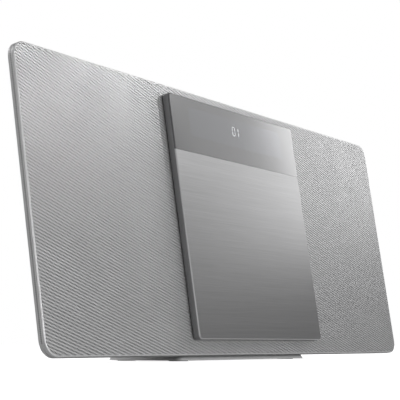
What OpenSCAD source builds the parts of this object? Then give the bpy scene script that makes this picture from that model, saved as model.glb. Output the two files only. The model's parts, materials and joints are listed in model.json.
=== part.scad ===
// Flat mini hifi system: a leaning panel with speakers on both sides of a sliding disc door.
// Lengths are millimetres. The panel's own frame has x across, y back from the grille's face and
// z up along the lean; leaned() carries it into the standing frame, where z = 0 is the table.

/* [Panel] */
// Width of the front panel
panel_w = 498; // [490:1:620]
// Height of the front panel, measured along its lean
panel_h = 203; // [200:1:260]
// Backward lean from upright, in degrees
lean = 9; // [6:0.5:11]
// Corner radius of the panel
panel_corner = 9; // [4:0.5:14]
// Height of the panel's lower front edge above the table
panel_lift = 4.5; // [4.5:0.1:8]
// Depth of the grille's wrapped edge
grille_skirt = 5.2; // [4.6:0.1:5.8]
// Thickness of the grille sheet
grille_sheet = 1.2; // [0.8:0.1:1.4]
// Thickness of the speaker baffle
baffle_t = 3; // [2.4:0.1:3.6]

/* [Door] */
// Width of the sliding door
door_w = 181.6; // [180:0.2:190]
// Height of the sliding door
door_h = 184.2; // [182:0.2:188]
// Height of the door's lower edge above the panel's lower edge
door_bottom = 10.6; // [9:0.2:12]
// Distance from the grille's face to the door's face
door_proud = 6.6; // [6.4:0.1:8]
// Gap between the door's back edge and the grille
door_gap = 1; // [0.8:0.1:1.2]
// Corner radius of the door
door_corner = 3.5; // [2:0.5:6]
// Height of the display lens at the top of the door
lens_h = 43.4; // [42:0.2:46]
// Thickness of the door's front plate and of its lens
door_skin = 1; // [0.8:0.1:1.2]
// How far the door slides to the right
door_travel = 133; // [128:1:133]

/* [Disc drive] */
// Radius of the round disc recess
recess_r = 62; // [61:0.5:63]
// Disc centre, across from the middle of the panel
disc_x = -20; // [-22:0.5:-18]
// Disc centre, above the panel's lower edge
disc_z = 85; // [84.5:0.5:86]
// Radius of the turntable's flange
flange_r = 15; // [13:0.5:16]
// How far the pickup slides outwards
pickup_travel = 34; // [30:0.5:35]
// Radius of the pickup's two rods
sled_rod_r = 1.5; // [1.2:0.1:1.8]
// Radius of the door's two guide rods
guide_rod_r = 2; // [1.6:0.1:2.4]

/* [Speakers] */
// Radius of the driver's mounting flange
driver_r = 38; // [34:0.5:39]
// Radius of the passive radiator's mounting flange
radiator_r = 26.5; // [24:0.5:27]
// Height of both speakers above the panel's lower edge
speaker_z = 100; // [90:1:110]

/* [Cabinet] */
// Distance from the grille's face to the cabinet's back
cab_rear = 61.6; // [58:0.2:76]
// Wall thickness of the cabinet
wall = 2.2; // [1.8:0.1:2.8]
// Radius of the threaded inserts for a wall bracket
insert_r = 1.65; // [1.2:0.05:2.2]
// Distance between the two wall inserts
insert_pitch = 150; // [120:1:170]

/* [Keys] */
// Width of one key
key_w = 13; // [9:0.5:15]
// Distance from one key to the next
key_pitch = 25; // [22:0.5:26]
// Height of a key above the deck
key_proud = 1.4; // [1:0.1:2]
// How far a key goes down
key_travel = 0.8; // [0.4:0.1:0.9]

/* [Stand] */
// Width of the stand's base
stand_w = 183.6; // [150:0.2:230]
// Overall depth of the system, from the door's lower edge to the back of the stand
depth = 92; // [88:1:120]
// Distance from the panel's lower edge back to the front of the base
stand_setback = 11.4; // [9:0.2:14]
// Thickness of the base
base_t = 3.4; // [3:0.1:3.6]
// Thickness of the rubber feet
foot_t = 0.5; // [0.4:0.1:0.6]

/* [Sockets] */
// Radius of the audio socket's hole
aux_r = 1.8; // [1.6:0.05:2]
// Depth of the audio socket's hole
aux_depth = 12; // [10:0.5:13]
// Width of the mains inlet's pocket
inlet_w = 15; // [14:0.5:17]
// Height of the mains inlet's pocket
inlet_h = 8.4; // [8:0.2:10]

/* [Hidden] */
$fn = 64;

// Clearances
run_fit = 0.05;          // radial clearance of a running fit
loose = 0.4;             // clearance around a piece that only drops in
lash = 0.1;              // thinning of every gear tooth
step = 1;                // how far a cutter runs past what it cuts

// Levels in the panel's frame, back from the grille's face
pw = panel_w / 2;
baffle_rim = 2;
baffle_front = grille_sheet + baffle_rim;
baffle_back = baffle_front + baffle_t;
well_front = 0.5;
well_floor = 9;
well_floor_t = 1.5;
well_ring = 1.5;         // wall around the disc recess

// Door
dw = door_w / 2;
door_top = door_bottom + door_h;
lens_bottom = door_top - lens_h;
door_frame_t = 1.2;
frame_front = door_skin - door_proud;
frame_back = frame_front + door_frame_t;
door_wall = 1.8;
door_chamfer = 0.6;
open_w = dw - 2.8;       // half width of the grille's opening behind the door
open_low = door_bottom + 0.6;
open_high = door_top - 3;
well_hw = open_w - 0.3;
well_low = open_low + 0.3;
well_high = open_high - 0.3;
baffle_hw = well_hw - 1.5;   // the well's plate laps the baffle's opening
baffle_low = well_low + 0.6;
baffle_high = well_high - 1.3;

// Guide rods and sliders
guide_y = 7;
slider_wall = 2;
slider_h = guide_rod_r + slider_wall;
slider_w = 34;
slider_x = 2.2 - baffle_hw;  // left end of the sliders with the door shut
guide_low = open_low + 5.5;
guide_high = lens_bottom + 4.6;
neck_h = 3;              // height of the slider's neck through the well
// Posts that hold the guide rods, clear of the sliders at both ends
rod_posts = [[0.2 - baffle_hw, slider_x - loose],
    [slider_x + slider_w + door_travel + loose, baffle_hw - 0.2]];
rod_end = baffle_hw - 0.8;

// Door drive: rack and pinion, then one reduction to the motor
rack_m = 0.8;
pinion_z = 15;
pinion_r = rack_m * pinion_z / 2;
wheel_m = 0.6;
wheel_z = 40;
wheel_r = wheel_m * wheel_z / 2;
motor_z = 12;
motor_r = wheel_m * motor_z / 2;
gear_x = 66;
rack_line = lens_bottom - 7.4;
gear_z = rack_line - pinion_r;
rack_t = 2.5;
rack_body = 4.6;
rack_left = gear_x - door_travel - 8;
rack_right = gear_x + 7;
pinion_y0 = frame_back + 0.4;
pinion_y1 = frame_back + rack_t;
wheel_y0 = baffle_front + 1;
wheel_y1 = wheel_y0 + 2.4;
bracket_y0 = wheel_y1 + 1.6;
bracket_t = 1.2;
bracket_y1 = bracket_y0 + bracket_t;
drive_pin_r = 1.5;
shaft_r = 1;

// Disc mechanism
disc_seat = 6;           // level of the disc's back face
nose_r = 7.4;
nose_front = 2.6;
hub_hole_r = flange_r + 2;
chassis_y = 20;
chassis_t = 1.2;
spindle_r = 13;
spindle_y = chassis_y - 8;
lens_start = 24;         // pickup lens to disc centre, at the innermost track
sled_pitch = 18;         // rods above and below the disc centre
sled_y = 15;
sled_w = 20;
tower_r = 4;
rod_post = 3;
sled_x0 = disc_x + 6;    // left end of the rods
sled_x1 = disc_x + lens_start + pickup_travel + sled_w / 2 + 2 + rod_post;
feed_m = 0.5;
feed_z = 14;
feed_r = feed_m * feed_z / 2;
feed_wheel_z = 40;
feed_wheel_r = feed_m * feed_wheel_z / 2;
feed_motor_z = 12;
feed_motor_r = feed_m * feed_motor_z / 2;
feed_angle = -50;        // direction from the feed gear to its motor
feed_x = disc_x + lens_start + pickup_travel / 2;
feed_line = disc_z - sled_pitch - 7;
feed_gz = feed_line - feed_r;
feed_mx = feed_x + (feed_wheel_r + feed_motor_r) * cos(feed_angle);
feed_mz = feed_gz + (feed_wheel_r + feed_motor_r) * sin(feed_angle);
journal_r = 2.5;
damper_t = 2;
damper_r = 4.5;
chassis_top = 112;
mech_posts = [[-40, 44], [-40, chassis_top - 5], [60, 95], [60, 48]];
bracket_posts = [[50, gear_z + 8.6], [82.4, gear_z + 8.6], [50, gear_z - 29], [82.4, gear_z - 29]];

// Speakers
driver_x = 140;
cab_inset = 13;
cab_hw = pw - cab_inset;
radiator_x = cab_hw - wall - radiator_r - 1.2;
driver_hole = driver_r - 5;
cone_r = driver_hole - 8;
radiator_hole = radiator_r - 2.5;
plate_r = radiator_hole - 4.5;
basket_t = 1.2;
coil_r = 8.8;
coil_y = 14;
plate_y = 24;
magnet_r = 22;
driver_bolt = driver_r - 2.4;
radiator_bolt = radiator_r - 1.6;

// Cabinet outline
cab_low = 4;
cab_high = panel_h - 6;
deck_rear = 26;
rear_low = 28;
rear_high = panel_h - 53;
side_depth = 14;
rear_taper = 58;         // how much narrower the cabinet's back is on each side
cab_corner = 10;
part_x = 98;             // inner face of the walls between centre and speakers
board_y = cab_rear - 17.6;
board_t = 1.6;
post_r = 3;
pilot_r = 1.25;
screw_r = 1.5;
head_r = 2.9;
head_t = 1.5;
seat_y = 12;             // level of the cabinet screws' heads
cab_bolts = [for (x = [-1, 1], z = [14, cab_high - 12]) [x * 108, z]];
cab_outer_bolts = [for (x = [-1, 1], z = [30, cab_high - 30]) [x * (cab_hw - 10), z]];

// Keys
deck_low = cab_high - wall;
key_y0 = 11.5;
key_y1 = 20.5;
key_flange = 1.2;
key_flange_t = 1.2;
key_gap = 0.3;
stem_r = 1.7;
key_under = deck_low - key_gap - key_flange_t;
switch_top = key_under - 3.1;
switch_h = 3.7;
board_top = switch_top - switch_h;
stem_end = switch_top - 0.8;
key_post_x = 2.5 * key_pitch + 14;
key_mid = (key_y0 + key_y1) / 2;

// Stand
front_y = -depth / 2;
panel_y = front_y + door_proud * cos(lean) - door_bottom * sin(lean);
base_front = panel_y + stand_setback;
base_back = depth / 2;
base_corner = 20;
base_nose = 6;
base_slope = 2;
base_top = foot_t + base_t;
neck_w = 84;
tongue_w = 60;
tongue_t = 2.4;
tongue_top = rear_low + 24;
neck_front = 22;
neck_bolts = [for (x = [-1, 1], y = [0.35, 0.8]) [x * 30, base_front + y * (base_back - base_front)]];
tongue_bolts = [[-20, rear_low + 14], [20, rear_low + 14]];
foot_r = 7;
feet = [for (x = [-1, 1], y = [base_front + 12, base_back - 16]) [x * (stand_w / 2 - 14), y]];

// Places on the cabinet's back
insert_z = rear_high - 14;
aux_x = 16;
usb_x = 44;
ant_x = 66;
socket_z = 74;
inlet_x = -60;
inlet_z = 60;
inlet_depth = 11;
main_posts = [[6, 46], [88, 46], [6, rear_high - 18], [88, rear_high - 30]];
power_posts = [[-88, 46], [-10, 46], [-88, rear_high - 30], [-10, rear_high - 8]];

// ---- Frames and basic shapes ----

module leaned() translate([0, panel_y, panel_lift]) rotate([-lean, 0, 0]) children();

// Standing y and z of a point of the panel's side view
function stand_pt(y, z) = [panel_y + y * cos(lean) + z * sin(lean),
    panel_lift - y * sin(lean) + z * cos(lean)];

// Extrudes a front view, drawn in x and z, from level y0 back to level y1
module slab(y0, y1) translate([0, y1, 0]) rotate([90, 0, 0]) linear_extrude(y1 - y0) children();

// Extrudes a side view, drawn in y and z, from x0 to x1
module side(x0, x1) translate([x0, 0, 0]) rotate([90, 0, 90]) linear_extrude(x1 - x0) children();

module rod_y(p, r, y0, y1) translate([p[0], y1, p[1]]) rotate([90, 0, 0]) cylinder(r = r, h = y1 - y0);

module rod_x(y, z, r, x0, x1) translate([x0, y, z]) rotate([0, 90, 0]) cylinder(r = r, h = x1 - x0);

module block(x, y, z) translate([x[0], y[0], z[0]]) cube([x[1] - x[0], y[1] - y[0], z[1] - z[0]]);

// Turns a profile of [radius, level] about a line that runs back through p
module turned(p) translate([p[0], 0, p[1]]) rotate([-90, 0, 0]) rotate_extrude() children();

module ring(p, r0, r1, y0, y1) difference() {
    rod_y(p, r1, y0, y1);
    rod_y(p, r0, y0 - step, y1 + step);
}

module rect(x, z) translate([x[0], z[0]]) square([x[1] - x[0], z[1] - z[0]]);

module round_rect(x, z, r) {
    rect([x[0] + r, x[1] - r], z);
    rect(x, [z[0] + r, z[1] - r]);
    for (cx = [x[0] + r, x[1] - r], cz = [z[0] + r, z[1] - r]) translate([cx, cz]) circle(r);
}

// Screw with its head towards the back; seat is the level under the head
module screw(p, r, seat, length) {
    rod_y(p, r, seat - length, seat);
    rod_y(p, r * 1.9, seat, seat + head_t);
}

// ---- Gears ----

pressure = 25;
function involute(a) = tan(a) * 180 / PI - a;
// Half the angle that a tooth spans at radius r
function half_tooth(z, m, r) = let (rp = m * z / 2, rb = rp * cos(pressure))
    (PI * m / 2 - lash) / 2 / rp * 180 / PI + involute(pressure)
    - (r > rb ? involute(acos(rb / r)) : 0);
function polar(r, a) = [r * cos(a), r * sin(a)];

module gear_2d(z, m, turn) {
    rp = m * z / 2;
    tip = rp + 0.9 * m;
    root = rp - 1.15 * m;
    base = max(root, rp * cos(pressure));
    radii = [root, base, rp, tip];
    rotate(turn) polygon([for (k = [0 : z - 1], s = [-1, 1], i = [0 : 3])
        let (r = radii[s < 0 ? i : 3 - i])
        polar(r, 360 * k / z + s * half_tooth(z, m, max(r, base)))]);
}

// Teeth that hang from the line z = line, with a gap over x = gap
module rack_2d(m, gap, line, x0, x1, body) {
    pitch = PI * m;
    half = (pitch / 2 - lash) / 2;
    spread = m * tan(pressure);
    first = ceil((x0 - gap) / pitch + 0.1);
    last = floor((x1 - gap) / pitch - 1.1);
    rect([x0, x1], [line + 1.15 * m, line + body]);
    for (k = [first : last]) translate([gap + (k + 0.5) * pitch, line]) polygon([
        [-half - 1.2 * spread, 1.2 * m], [-half + 0.9 * spread, -0.9 * m],
        [half - 0.9 * spread, -0.9 * m], [half + 1.2 * spread, 1.2 * m]]);
}

// ---- Front panel and cabinet ----

module front_grille() color([0.7, 0.7, 0.7]) leaned() difference() {
    slab(0, grille_skirt) round_rect([-pw, pw], [0, panel_h], panel_corner);
    slab(grille_sheet, grille_skirt + step) round_rect([grille_sheet - pw, pw - grille_sheet],
        [grille_sheet, panel_h - grille_sheet], panel_corner - grille_sheet);
    slab(-step, baffle_front) rect([-open_w, open_w], [open_low, open_high]);
}

lug_w = 12;
lug_h = 9;
well_bolts = [for (x = [-1, 1], z = [guide_low + 10, baffle_high - lug_h / 2]) [x * (baffle_hw - 6), z]];

module centre_opening() difference() {
    rect([-baffle_hw, baffle_hw], [baffle_low, baffle_high]);
    for (p = well_bolts) {
        side_x = p[0] > 0 ? [p[0] - lug_w / 2, baffle_hw] : [-baffle_hw, p[0] + lug_w / 2];
        rect(side_x, [p[1] - lug_h / 2, p[1] + lug_h / 2]);
    }
}

module front_baffle() color([0.16, 0.16, 0.17]) leaned() {
    edge = grille_sheet + loose;
    outline = pw - edge;
    difference() {
        union() {
            slab(baffle_front, baffle_back)
                round_rect([-outline, outline], [edge, panel_h - edge], panel_corner - edge);
            slab(grille_sheet, baffle_front) difference() {
                round_rect([-outline, outline], [edge, panel_h - edge], panel_corner - edge);
                round_rect([2 - outline, outline - 2], [edge + 2, panel_h - edge - 2],
                    panel_corner - edge - 2);
            }
            slab(grille_sheet, baffle_front) difference() {
                rect([-open_w - 2, open_w + 2], [open_low - 2, open_high + 2]);
                rect([-open_w, open_w], [open_low, open_high]);
            }
            for (p = concat(cab_bolts, cab_outer_bolts)) rod_y(p, 3.5, grille_sheet, baffle_front);
        }
        slab(baffle_front - step, baffle_back + step) centre_opening();
        for (s = [-1, 1]) {
            rod_y([s * driver_x, speaker_z], driver_hole, 0, baffle_back + step);
            rod_y([s * radiator_x, speaker_z], radiator_hole, 0, baffle_back + step);
            for (a = [45 : 90 : 315]) rod_y([s * driver_x, speaker_z] + polar(driver_bolt, a),
                pilot_r, baffle_front - 0.1, baffle_back + step);
            for (a = [30 : 120 : 270]) rod_y([s * radiator_x, speaker_z] + polar(radiator_bolt, a),
                0.8, baffle_front + 0.5, baffle_back + step);
        }
        for (p = concat(cab_bolts, cab_outer_bolts)) rod_y(p, screw_r, grille_sheet + 0.6, baffle_back + step);
        for (p = well_bolts) rod_y(p, screw_r, baffle_front - step, baffle_back + step);
    }
}

// The cabinet's solid outline, shrunk on every side by inset
module cabinet_body(inset) intersection() {
    front = baffle_back - (inset > 0 ? step : 0);
    rear = cab_rear - inset;
    slab(front, rear) round_rect([inset - cab_hw, cab_hw - inset],
        [cab_low + inset, cab_high - inset], cab_corner - inset);
    side(-cab_hw, cab_hw) polygon([[front, cab_low + inset], [rear, rear_low + inset],
        [rear, rear_high - inset / 2], [deck_rear - inset / 2, cab_high - inset],
        [front, cab_high - inset]]);
    linear_extrude(panel_h) polygon([for (s = [-1, 1], i = [0 : 2])
        let (k = s < 0 ? i : 2 - i)
        [s * ([cab_hw, cab_hw, cab_hw - rear_taper][k] - inset), [front, side_depth, rear][k]]]);
}

module rear_cabinet() color([0.2, 0.2, 0.21]) leaned() difference() {
    union() {
        difference() {
            cabinet_body(0);
            cabinet_body(wall);
        }
        intersection() {
            cabinet_body(0);
            union() {
                for (s = [-1, 1]) block(s > 0 ? [part_x, part_x + wall] : [-part_x - wall, -part_x],
                    [baffle_back, cab_rear], [0, panel_h]);
                for (p = concat(cab_bolts, cab_outer_bolts)) rod_y(p, 5.4, baffle_back, cab_rear);
                for (p = concat(main_posts, power_posts)) rod_y(p, post_r, board_y + board_t, cab_rear);
                for (p = tongue_bolts) rod_y(p, 4, cab_rear - 10, cab_rear);
                for (s = [-1, 1]) rod_y([s * insert_pitch / 2, insert_z], insert_r + 2.4,
                    cab_rear - 9, cab_rear);
                for (s = [-1, 1]) block([s * key_post_x - 2.5, s * key_post_x + 2.5],
                    [key_mid - 2.5, key_mid + 2.5], [board_top, cab_high]);
            }
        }
    }
    for (p = concat(cab_bolts, cab_outer_bolts)) {
        rod_y(p, 3.8, seat_y, cab_rear + step);
        rod_y(p, screw_r + 0.2, baffle_back - step, seat_y + step);
    }
    for (p = concat(main_posts, power_posts)) rod_y(p, pilot_r, board_y, cab_rear - 2.5);
    for (p = tongue_bolts) rod_y(p, screw_r, cab_rear - 9, cab_rear + step);
    for (s = [-1, 1]) {
        rod_y([s * insert_pitch / 2, insert_z], insert_r, cab_rear - 8, cab_rear + step);
        translate([s * key_post_x, key_mid, board_top - step]) cylinder(r = pilot_r, h = 6);
    }
    for (i = [0 : 5]) block([key_x(i) - key_w / 2 - key_gap, key_x(i) + key_w / 2 + key_gap],
        [key_y0 - key_gap, key_y1 + key_gap], [deck_low - step, cab_high + step]);
    rod_y([aux_x, socket_z], 4.2, cab_rear - wall - step, cab_rear + step);
    rod_y([ant_x, socket_z], 5.2, cab_rear - wall - step, cab_rear + step);
    block([usb_x - 7.4, usb_x + 7.4], [cab_rear - wall - step, cab_rear + step],
        [socket_z - 3.8, socket_z + 3.8]);
    block([inlet_x - inlet_w / 2 - 2.2, inlet_x + inlet_w / 2 + 2.2],
        [cab_rear - wall - step, cab_rear + step], [inlet_z - inlet_h / 2 - 2.2, inlet_z + inlet_h / 2 + 2.2]);
    for (k = [-9 : 9]) block([k * 8 - 1.5, k * 8 + 1.5], [deck_rear + 10, cab_rear + step],
        [rear_high + 6, rear_high + 24]);
}

module disc_well() color([0.13, 0.13, 0.14]) leaned() difference() {
    union() {
        slab(well_front, baffle_front) rect([-well_hw, well_hw], [well_low, well_high]);
        rod_y([disc_x, disc_z], recess_r + well_ring, baffle_front, well_floor + well_floor_t);
        for (z = [guide_low, guide_high], x = rod_posts)
            block(x, [baffle_front, guide_y + slider_h], [z - slider_h, z + slider_h]);
        for (p = bracket_posts) rod_y(p, 3, baffle_front, bracket_y0);
        for (p = mech_posts) rod_y(p, 3.2, baffle_front, chassis_y - damper_t);
        for (p = panel_posts) rod_y(p, 2.2, baffle_front, glass_y + glass_t);
    }
    rod_y([disc_x, disc_z], recess_r, well_front - step, well_floor);
    for (s = [-1, 1]) rod_y([disc_x + s * (recess_r - 4), disc_z - 34], 13,
        well_front - step, baffle_front - 0.8);
    rod_y([disc_x, disc_z], hub_hole_r, well_floor - step, well_floor + well_floor_t + step);
    block([disc_x + 12, disc_x + lens_start + pickup_travel + tower_r + 1.2],
        [well_floor - step, well_floor + well_floor_t + step], [disc_z - tower_r - 1, disc_z + tower_r + 1]);
    for (z = [guide_low, guide_high]) {
        block([rod_posts[0][1], rod_posts[1][0]], [well_front - step, baffle_front + step],
            [z - neck_h / 2 - loose, z + neck_h / 2 + loose]);
        rod_x(guide_y, z, guide_rod_r + run_fit, -rod_end - 0.2, rod_end + 0.2);
    }
    rod_y([gear_x, gear_z], pinion_r + 1.4, well_front - step, baffle_front + step);
    block([-glass_w / 2 + 2, glass_w / 2 - 2], [well_front - step, baffle_front + step],
        [glass_low + 1.5, glass_high - 1.5]);
    for (p = bracket_posts) rod_y(p, pilot_r, baffle_front + 0.5, bracket_y0 + step);
    for (p = mech_posts) rod_y(p, pilot_r, chassis_y - damper_t - 6, chassis_y);
    for (p = well_bolts) rod_y(p, screw_r, well_front + 0.8, baffle_front + step);
    for (p = panel_posts) rod_y(p, 0.9, baffle_front, glass_y + glass_t + step);
}

module guide_rods() color([0.75, 0.75, 0.77]) leaned() for (z = [guide_low, guide_high])
    rod_x(guide_y, z, guide_rod_r, -rod_end, rod_end);

// ---- Door ----

module door_outline(inset) round_rect([inset - dw, dw - inset],
    [door_bottom + inset, door_top - inset], door_corner - inset);

module door_skin_2d(z) intersection() {
    door_outline(0);
    rect([-dw, dw], z);
}

module door_plate() color([0.72, 0.72, 0.73]) leaned()
    slab(-door_proud, frame_front) door_skin_2d([door_bottom, lens_bottom]);

module display_lens() color([0.55, 0.56, 0.58]) leaned()
    slab(-door_proud, frame_front) door_skin_2d([lens_bottom, door_top]);

module door_frame() color([0.36, 0.36, 0.37]) leaned() difference() {
    slab(frame_front, -door_gap) door_outline(0);
    slab(frame_back, step) door_outline(door_wall);
    slab(frame_front - step, frame_back + step)
        rect([-dw + 6, dw - 6], [guide_high + slider_h + 2, door_top - 4]);
}

module door_rack() color([0.85, 0.85, 0.82]) leaned()
    slab(frame_back, frame_back + rack_t)
        rack_2d(rack_m, gear_x, rack_line, rack_left, rack_right, rack_body);

// Each slider hangs from the door's back, passes the well and runs on its guide rod
module door_sliders() color([0.88, 0.88, 0.86]) leaned() for (z = [guide_low, guide_high]) difference() {
    union() {
        block([slider_x, slider_x + slider_w], [baffle_front + loose, guide_y + slider_h],
            [z - slider_h, z + slider_h]);
        block([slider_x, slider_x + slider_w], [frame_back, guide_y], [z - neck_h / 2, z + neck_h / 2]);
    }
    rod_x(guide_y, z, guide_rod_r + run_fit, slider_x - step, slider_x + slider_w + step);
}

// ---- Door drive ----

module drive_bracket() color([0.7, 0.7, 0.7]) leaned() {
    difference() {
        slab(bracket_y0, bracket_y1) rect([46, 85.6], [gear_z - 33, gear_z + 12.4]);
        rod_y([gear_x, gear_z - wheel_r - motor_r], 4, 0, cab_rear);
        for (p = bracket_posts) rod_y(p, screw_r, 0, cab_rear);
    }
    rod_y([gear_x, gear_z], drive_pin_r, pinion_y0 + 0.6, bracket_y0);
}

module motor_can(p, r, y0, y1) {
    rod_y(p, r, y0, y1);
    rod_y(p, r * 0.28, y1, y1 + 1.5);
}

module door_motor() color([0.66, 0.67, 0.68]) leaned() difference() {
    union() {
        motor_can([gear_x, gear_z - wheel_r - motor_r], 10, bracket_y1, bracket_y1 + 19);
        rod_y([gear_x, gear_z - wheel_r - motor_r], 3.6, bracket_y0, bracket_y1);
    }
    rod_y([gear_x, gear_z - wheel_r - motor_r], shaft_r + run_fit, 0, bracket_y1 + 12);
}

// Compound gear: the small one drives the rack, the wide one is driven by the motor
module door_gear() color([0.9, 0.9, 0.88]) leaned() difference() {
    union() {
        translate([gear_x, 0, gear_z]) {
            slab(pinion_y0, pinion_y1) gear_2d(pinion_z, rack_m, 90);
            slab(wheel_y0, wheel_y1) gear_2d(wheel_z, wheel_m, -90);
        }
        rod_y([gear_x, gear_z], 3.6, pinion_y1 - 0.1, wheel_y0 + 0.1);
        rod_y([gear_x, gear_z], 3, wheel_y1 - 0.1, bracket_y0 - 0.2);
    }
    rod_y([gear_x, gear_z], drive_pin_r + run_fit, pinion_y0 - step, bracket_y0);
}

module motor_pinion() color([0.9, 0.9, 0.88]) leaned() {
    translate([gear_x, 0, gear_z - wheel_r - motor_r])
        slab(wheel_y0, wheel_y1) gear_2d(motor_z, wheel_m, 90 + 180 / motor_z);
    rod_y([gear_x, gear_z - wheel_r - motor_r], shaft_r, wheel_y1 - 0.1, bracket_y1 + 11);
}

// ---- Disc mechanism ----

// Three spring balls that hold the disc on the turntable's nose, and the seats they sit in
ball_r = 0.7;
module nose_balls(r) for (a = [90 : 120 : 330])
    translate([disc_x + nose_r * cos(a), disc_seat - 1.3, disc_z + nose_r * sin(a)]) sphere(r);
module hub_balls() color([0.8, 0.8, 0.82]) leaned() nose_balls(ball_r);

module turntable_hub() color([0.12, 0.12, 0.12]) leaned() difference() {
    turned([disc_x, disc_z]) polygon([
        [0, nose_front], [nose_r - 2.4, nose_front], [nose_r, nose_front + 2], [nose_r, disc_seat],
        [flange_r, disc_seat], [flange_r, disc_seat + 1.5], [5, disc_seat + 1.5], [5, spindle_y - 0.6],
        [shaft_r, spindle_y - 0.6], [shaft_r, chassis_y - 1], [0, chassis_y - 1]]);
    nose_balls(ball_r + 0.02);
}

module spindle_motor() color([0.68, 0.69, 0.7]) leaned() difference() {
    rod_y([disc_x, disc_z], spindle_r, spindle_y, chassis_y);
    rod_y([disc_x, disc_z], shaft_r + run_fit, spindle_y - step, chassis_y - 0.6);
}

module mech_chassis() color([0.72, 0.72, 0.73]) leaned() difference() {
    union() {
        slab(chassis_y, chassis_y + chassis_t) rect([-46, 66], [feed_mz - 8, chassis_top]);
        for (x = [sled_x0, sled_x1 - rod_post], s = [-1, 1])
            block([x, x + rod_post], [sled_y - 3, chassis_y], [disc_z + s * sled_pitch - 3,
                disc_z + s * sled_pitch + 3]);
        rod_y([feed_x, feed_gz], journal_r + 1.8, chassis_y - 3.6, chassis_y);
    }
    for (s = [-1, 1]) rod_x(sled_y, disc_z + s * sled_pitch, sled_rod_r, sled_x0 + 0.6, sled_x1 - 0.6);
    rod_y([feed_x, feed_gz], journal_r + run_fit, chassis_y - 4, chassis_y + 2);
    rod_y([feed_mx, feed_mz], 2.4, chassis_y - step, chassis_y + 2);
    for (p = mech_posts) rod_y(p, screw_r, chassis_y - step, chassis_y + 2);
}

module mech_dampers() color([0.1, 0.1, 0.1]) leaned() for (p = mech_posts)
    ring(p, screw_r, damper_r, chassis_y - damper_t, chassis_y);

module sled_rods() color([0.75, 0.75, 0.77]) leaned() for (s = [-1, 1])
    rod_x(sled_y, disc_z + s * sled_pitch, sled_rod_r, sled_x0 + 0.6, sled_x1 - 0.6);

// Pickup carriage with the rack that the feed gear drives
module pickup_sled() color([0.3, 0.3, 0.32]) leaned() {
    x = disc_x + lens_start;
    reach = pickup_travel / 2 + 3;
    difference() {
        union() {
            block([x - sled_w / 2, x + sled_w / 2], [sled_y - 3.5, sled_y + 3.5],
                [disc_z - sled_pitch - 3, disc_z + sled_pitch + 3]);
            rod_y([x, disc_z], tower_r, well_floor - 0.4, sled_y);
            slab(sled_y - 2.5, sled_y)
                rack_2d(feed_m, feed_x, feed_line, x - reach, x + reach, 4);
        }
        for (s = [-1, 1]) rod_x(sled_y, disc_z + s * sled_pitch, sled_rod_r + run_fit, x - 20, x + 20);
        rod_y([x, disc_z], 2.6, well_floor - step, well_floor + 0.8);
    }
}

module pickup_lens() color([0.6, 0.7, 0.85]) leaned()
    turned([disc_x + lens_start, disc_z]) polygon([[0, well_floor - 1.4], [1.6, well_floor - 1],
        [2.6, well_floor - 0.6], [2.6, well_floor + 0.8], [0, well_floor + 0.8]]);

module feed_gear() color([0.9, 0.9, 0.88]) leaned() {
    translate([feed_x, 0, feed_gz]) {
        slab(sled_y - 2.6, sled_y + 0.1) gear_2d(feed_z, feed_m, 90);
        slab(chassis_y + chassis_t + 0.4, chassis_y + chassis_t + 2.2)
            gear_2d(feed_wheel_z, feed_m, feed_angle);
    }
    rod_y([feed_x, feed_gz], journal_r, sled_y, chassis_y + chassis_t + 0.5);
}

module feed_motor() color([0.66, 0.67, 0.68]) leaned() difference() {
    rod_y([feed_mx, feed_mz], 6, chassis_y - 9, chassis_y);
    rod_y([feed_mx, feed_mz], shaft_r + run_fit, chassis_y - 8, chassis_y + step);
}

module feed_pinion() color([0.9, 0.9, 0.88]) leaned() {
    translate([feed_mx, 0, feed_mz]) slab(chassis_y + chassis_t + 0.4, chassis_y + chassis_t + 2.2)
        gear_2d(feed_motor_z, feed_m, feed_angle + 180 + 180 / feed_motor_z);
    rod_y([feed_mx, feed_mz], shaft_r, chassis_y - 7, chassis_y + chassis_t + 0.5);
}

// ---- Speakers ----

module driver_baskets() color([0.15, 0.15, 0.16]) leaned() for (s = [-1, 1]) {
    p = [s * driver_x, speaker_z];
    difference() {
        turned(p) polygon([[driver_hole - 4, baffle_back], [driver_r, baffle_back],
            [driver_r, baffle_back + basket_t], [driver_hole - 1, baffle_back + basket_t],
            [18.5, plate_y - 1.2], [18.5, plate_y], [coil_r + 3, plate_y], [coil_r + 3, plate_y - 1.2],
            [17, plate_y - 1.2], [driver_hole - 4, baffle_back + basket_t]]);
        for (a = [45 : 90 : 315]) rod_y(p + polar(driver_bolt, a), screw_r, 0, baffle_back + 3);
        for (a = [0 : 60 : 120]) translate([p[0], 0, p[1]]) rotate([0, a, 0])
            block([-40, 40], [baffle_back + 4, plate_y - 3], [-5, 5]);
    }
}

module driver_magnets() color([0.25, 0.25, 0.26]) leaned() for (s = [-1, 1])
    turned([s * driver_x, speaker_z]) polygon([[0, plate_y + 1.5], [coil_r - 0.8, plate_y + 1.5],
        [coil_r - 0.8, plate_y + 12], [coil_r + 2.6, plate_y + 12], [coil_r + 2.6, plate_y + 4],
        [coil_r + 0.8, plate_y + 4], [coil_r + 0.8, plate_y], [20, plate_y], [20, plate_y + 4],
        [magnet_r, plate_y + 4], [magnet_r, plate_y + 12], [20, plate_y + 12], [20, plate_y + 14.5],
        [0, plate_y + 14.5]]);

module cone(s) color([0.1, 0.1, 0.1]) leaned() turned([s * driver_x, speaker_z]) polygon([
    [0, coil_y - 3.5], [4, coil_y - 3], [coil_r, coil_y - 0.4], [cone_r, baffle_front + 2],
    [cone_r, baffle_front + 2.8], [coil_r + 0.3, coil_y + 0.6], [coil_r + 0.3, plate_y + 6],
    [coil_r - 0.3, plate_y + 6], [coil_r - 0.3, coil_y], [4, coil_y - 2.4], [0, coil_y - 2.9]]);
module cone_left() cone(-1);
module cone_right() cone(1);

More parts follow.
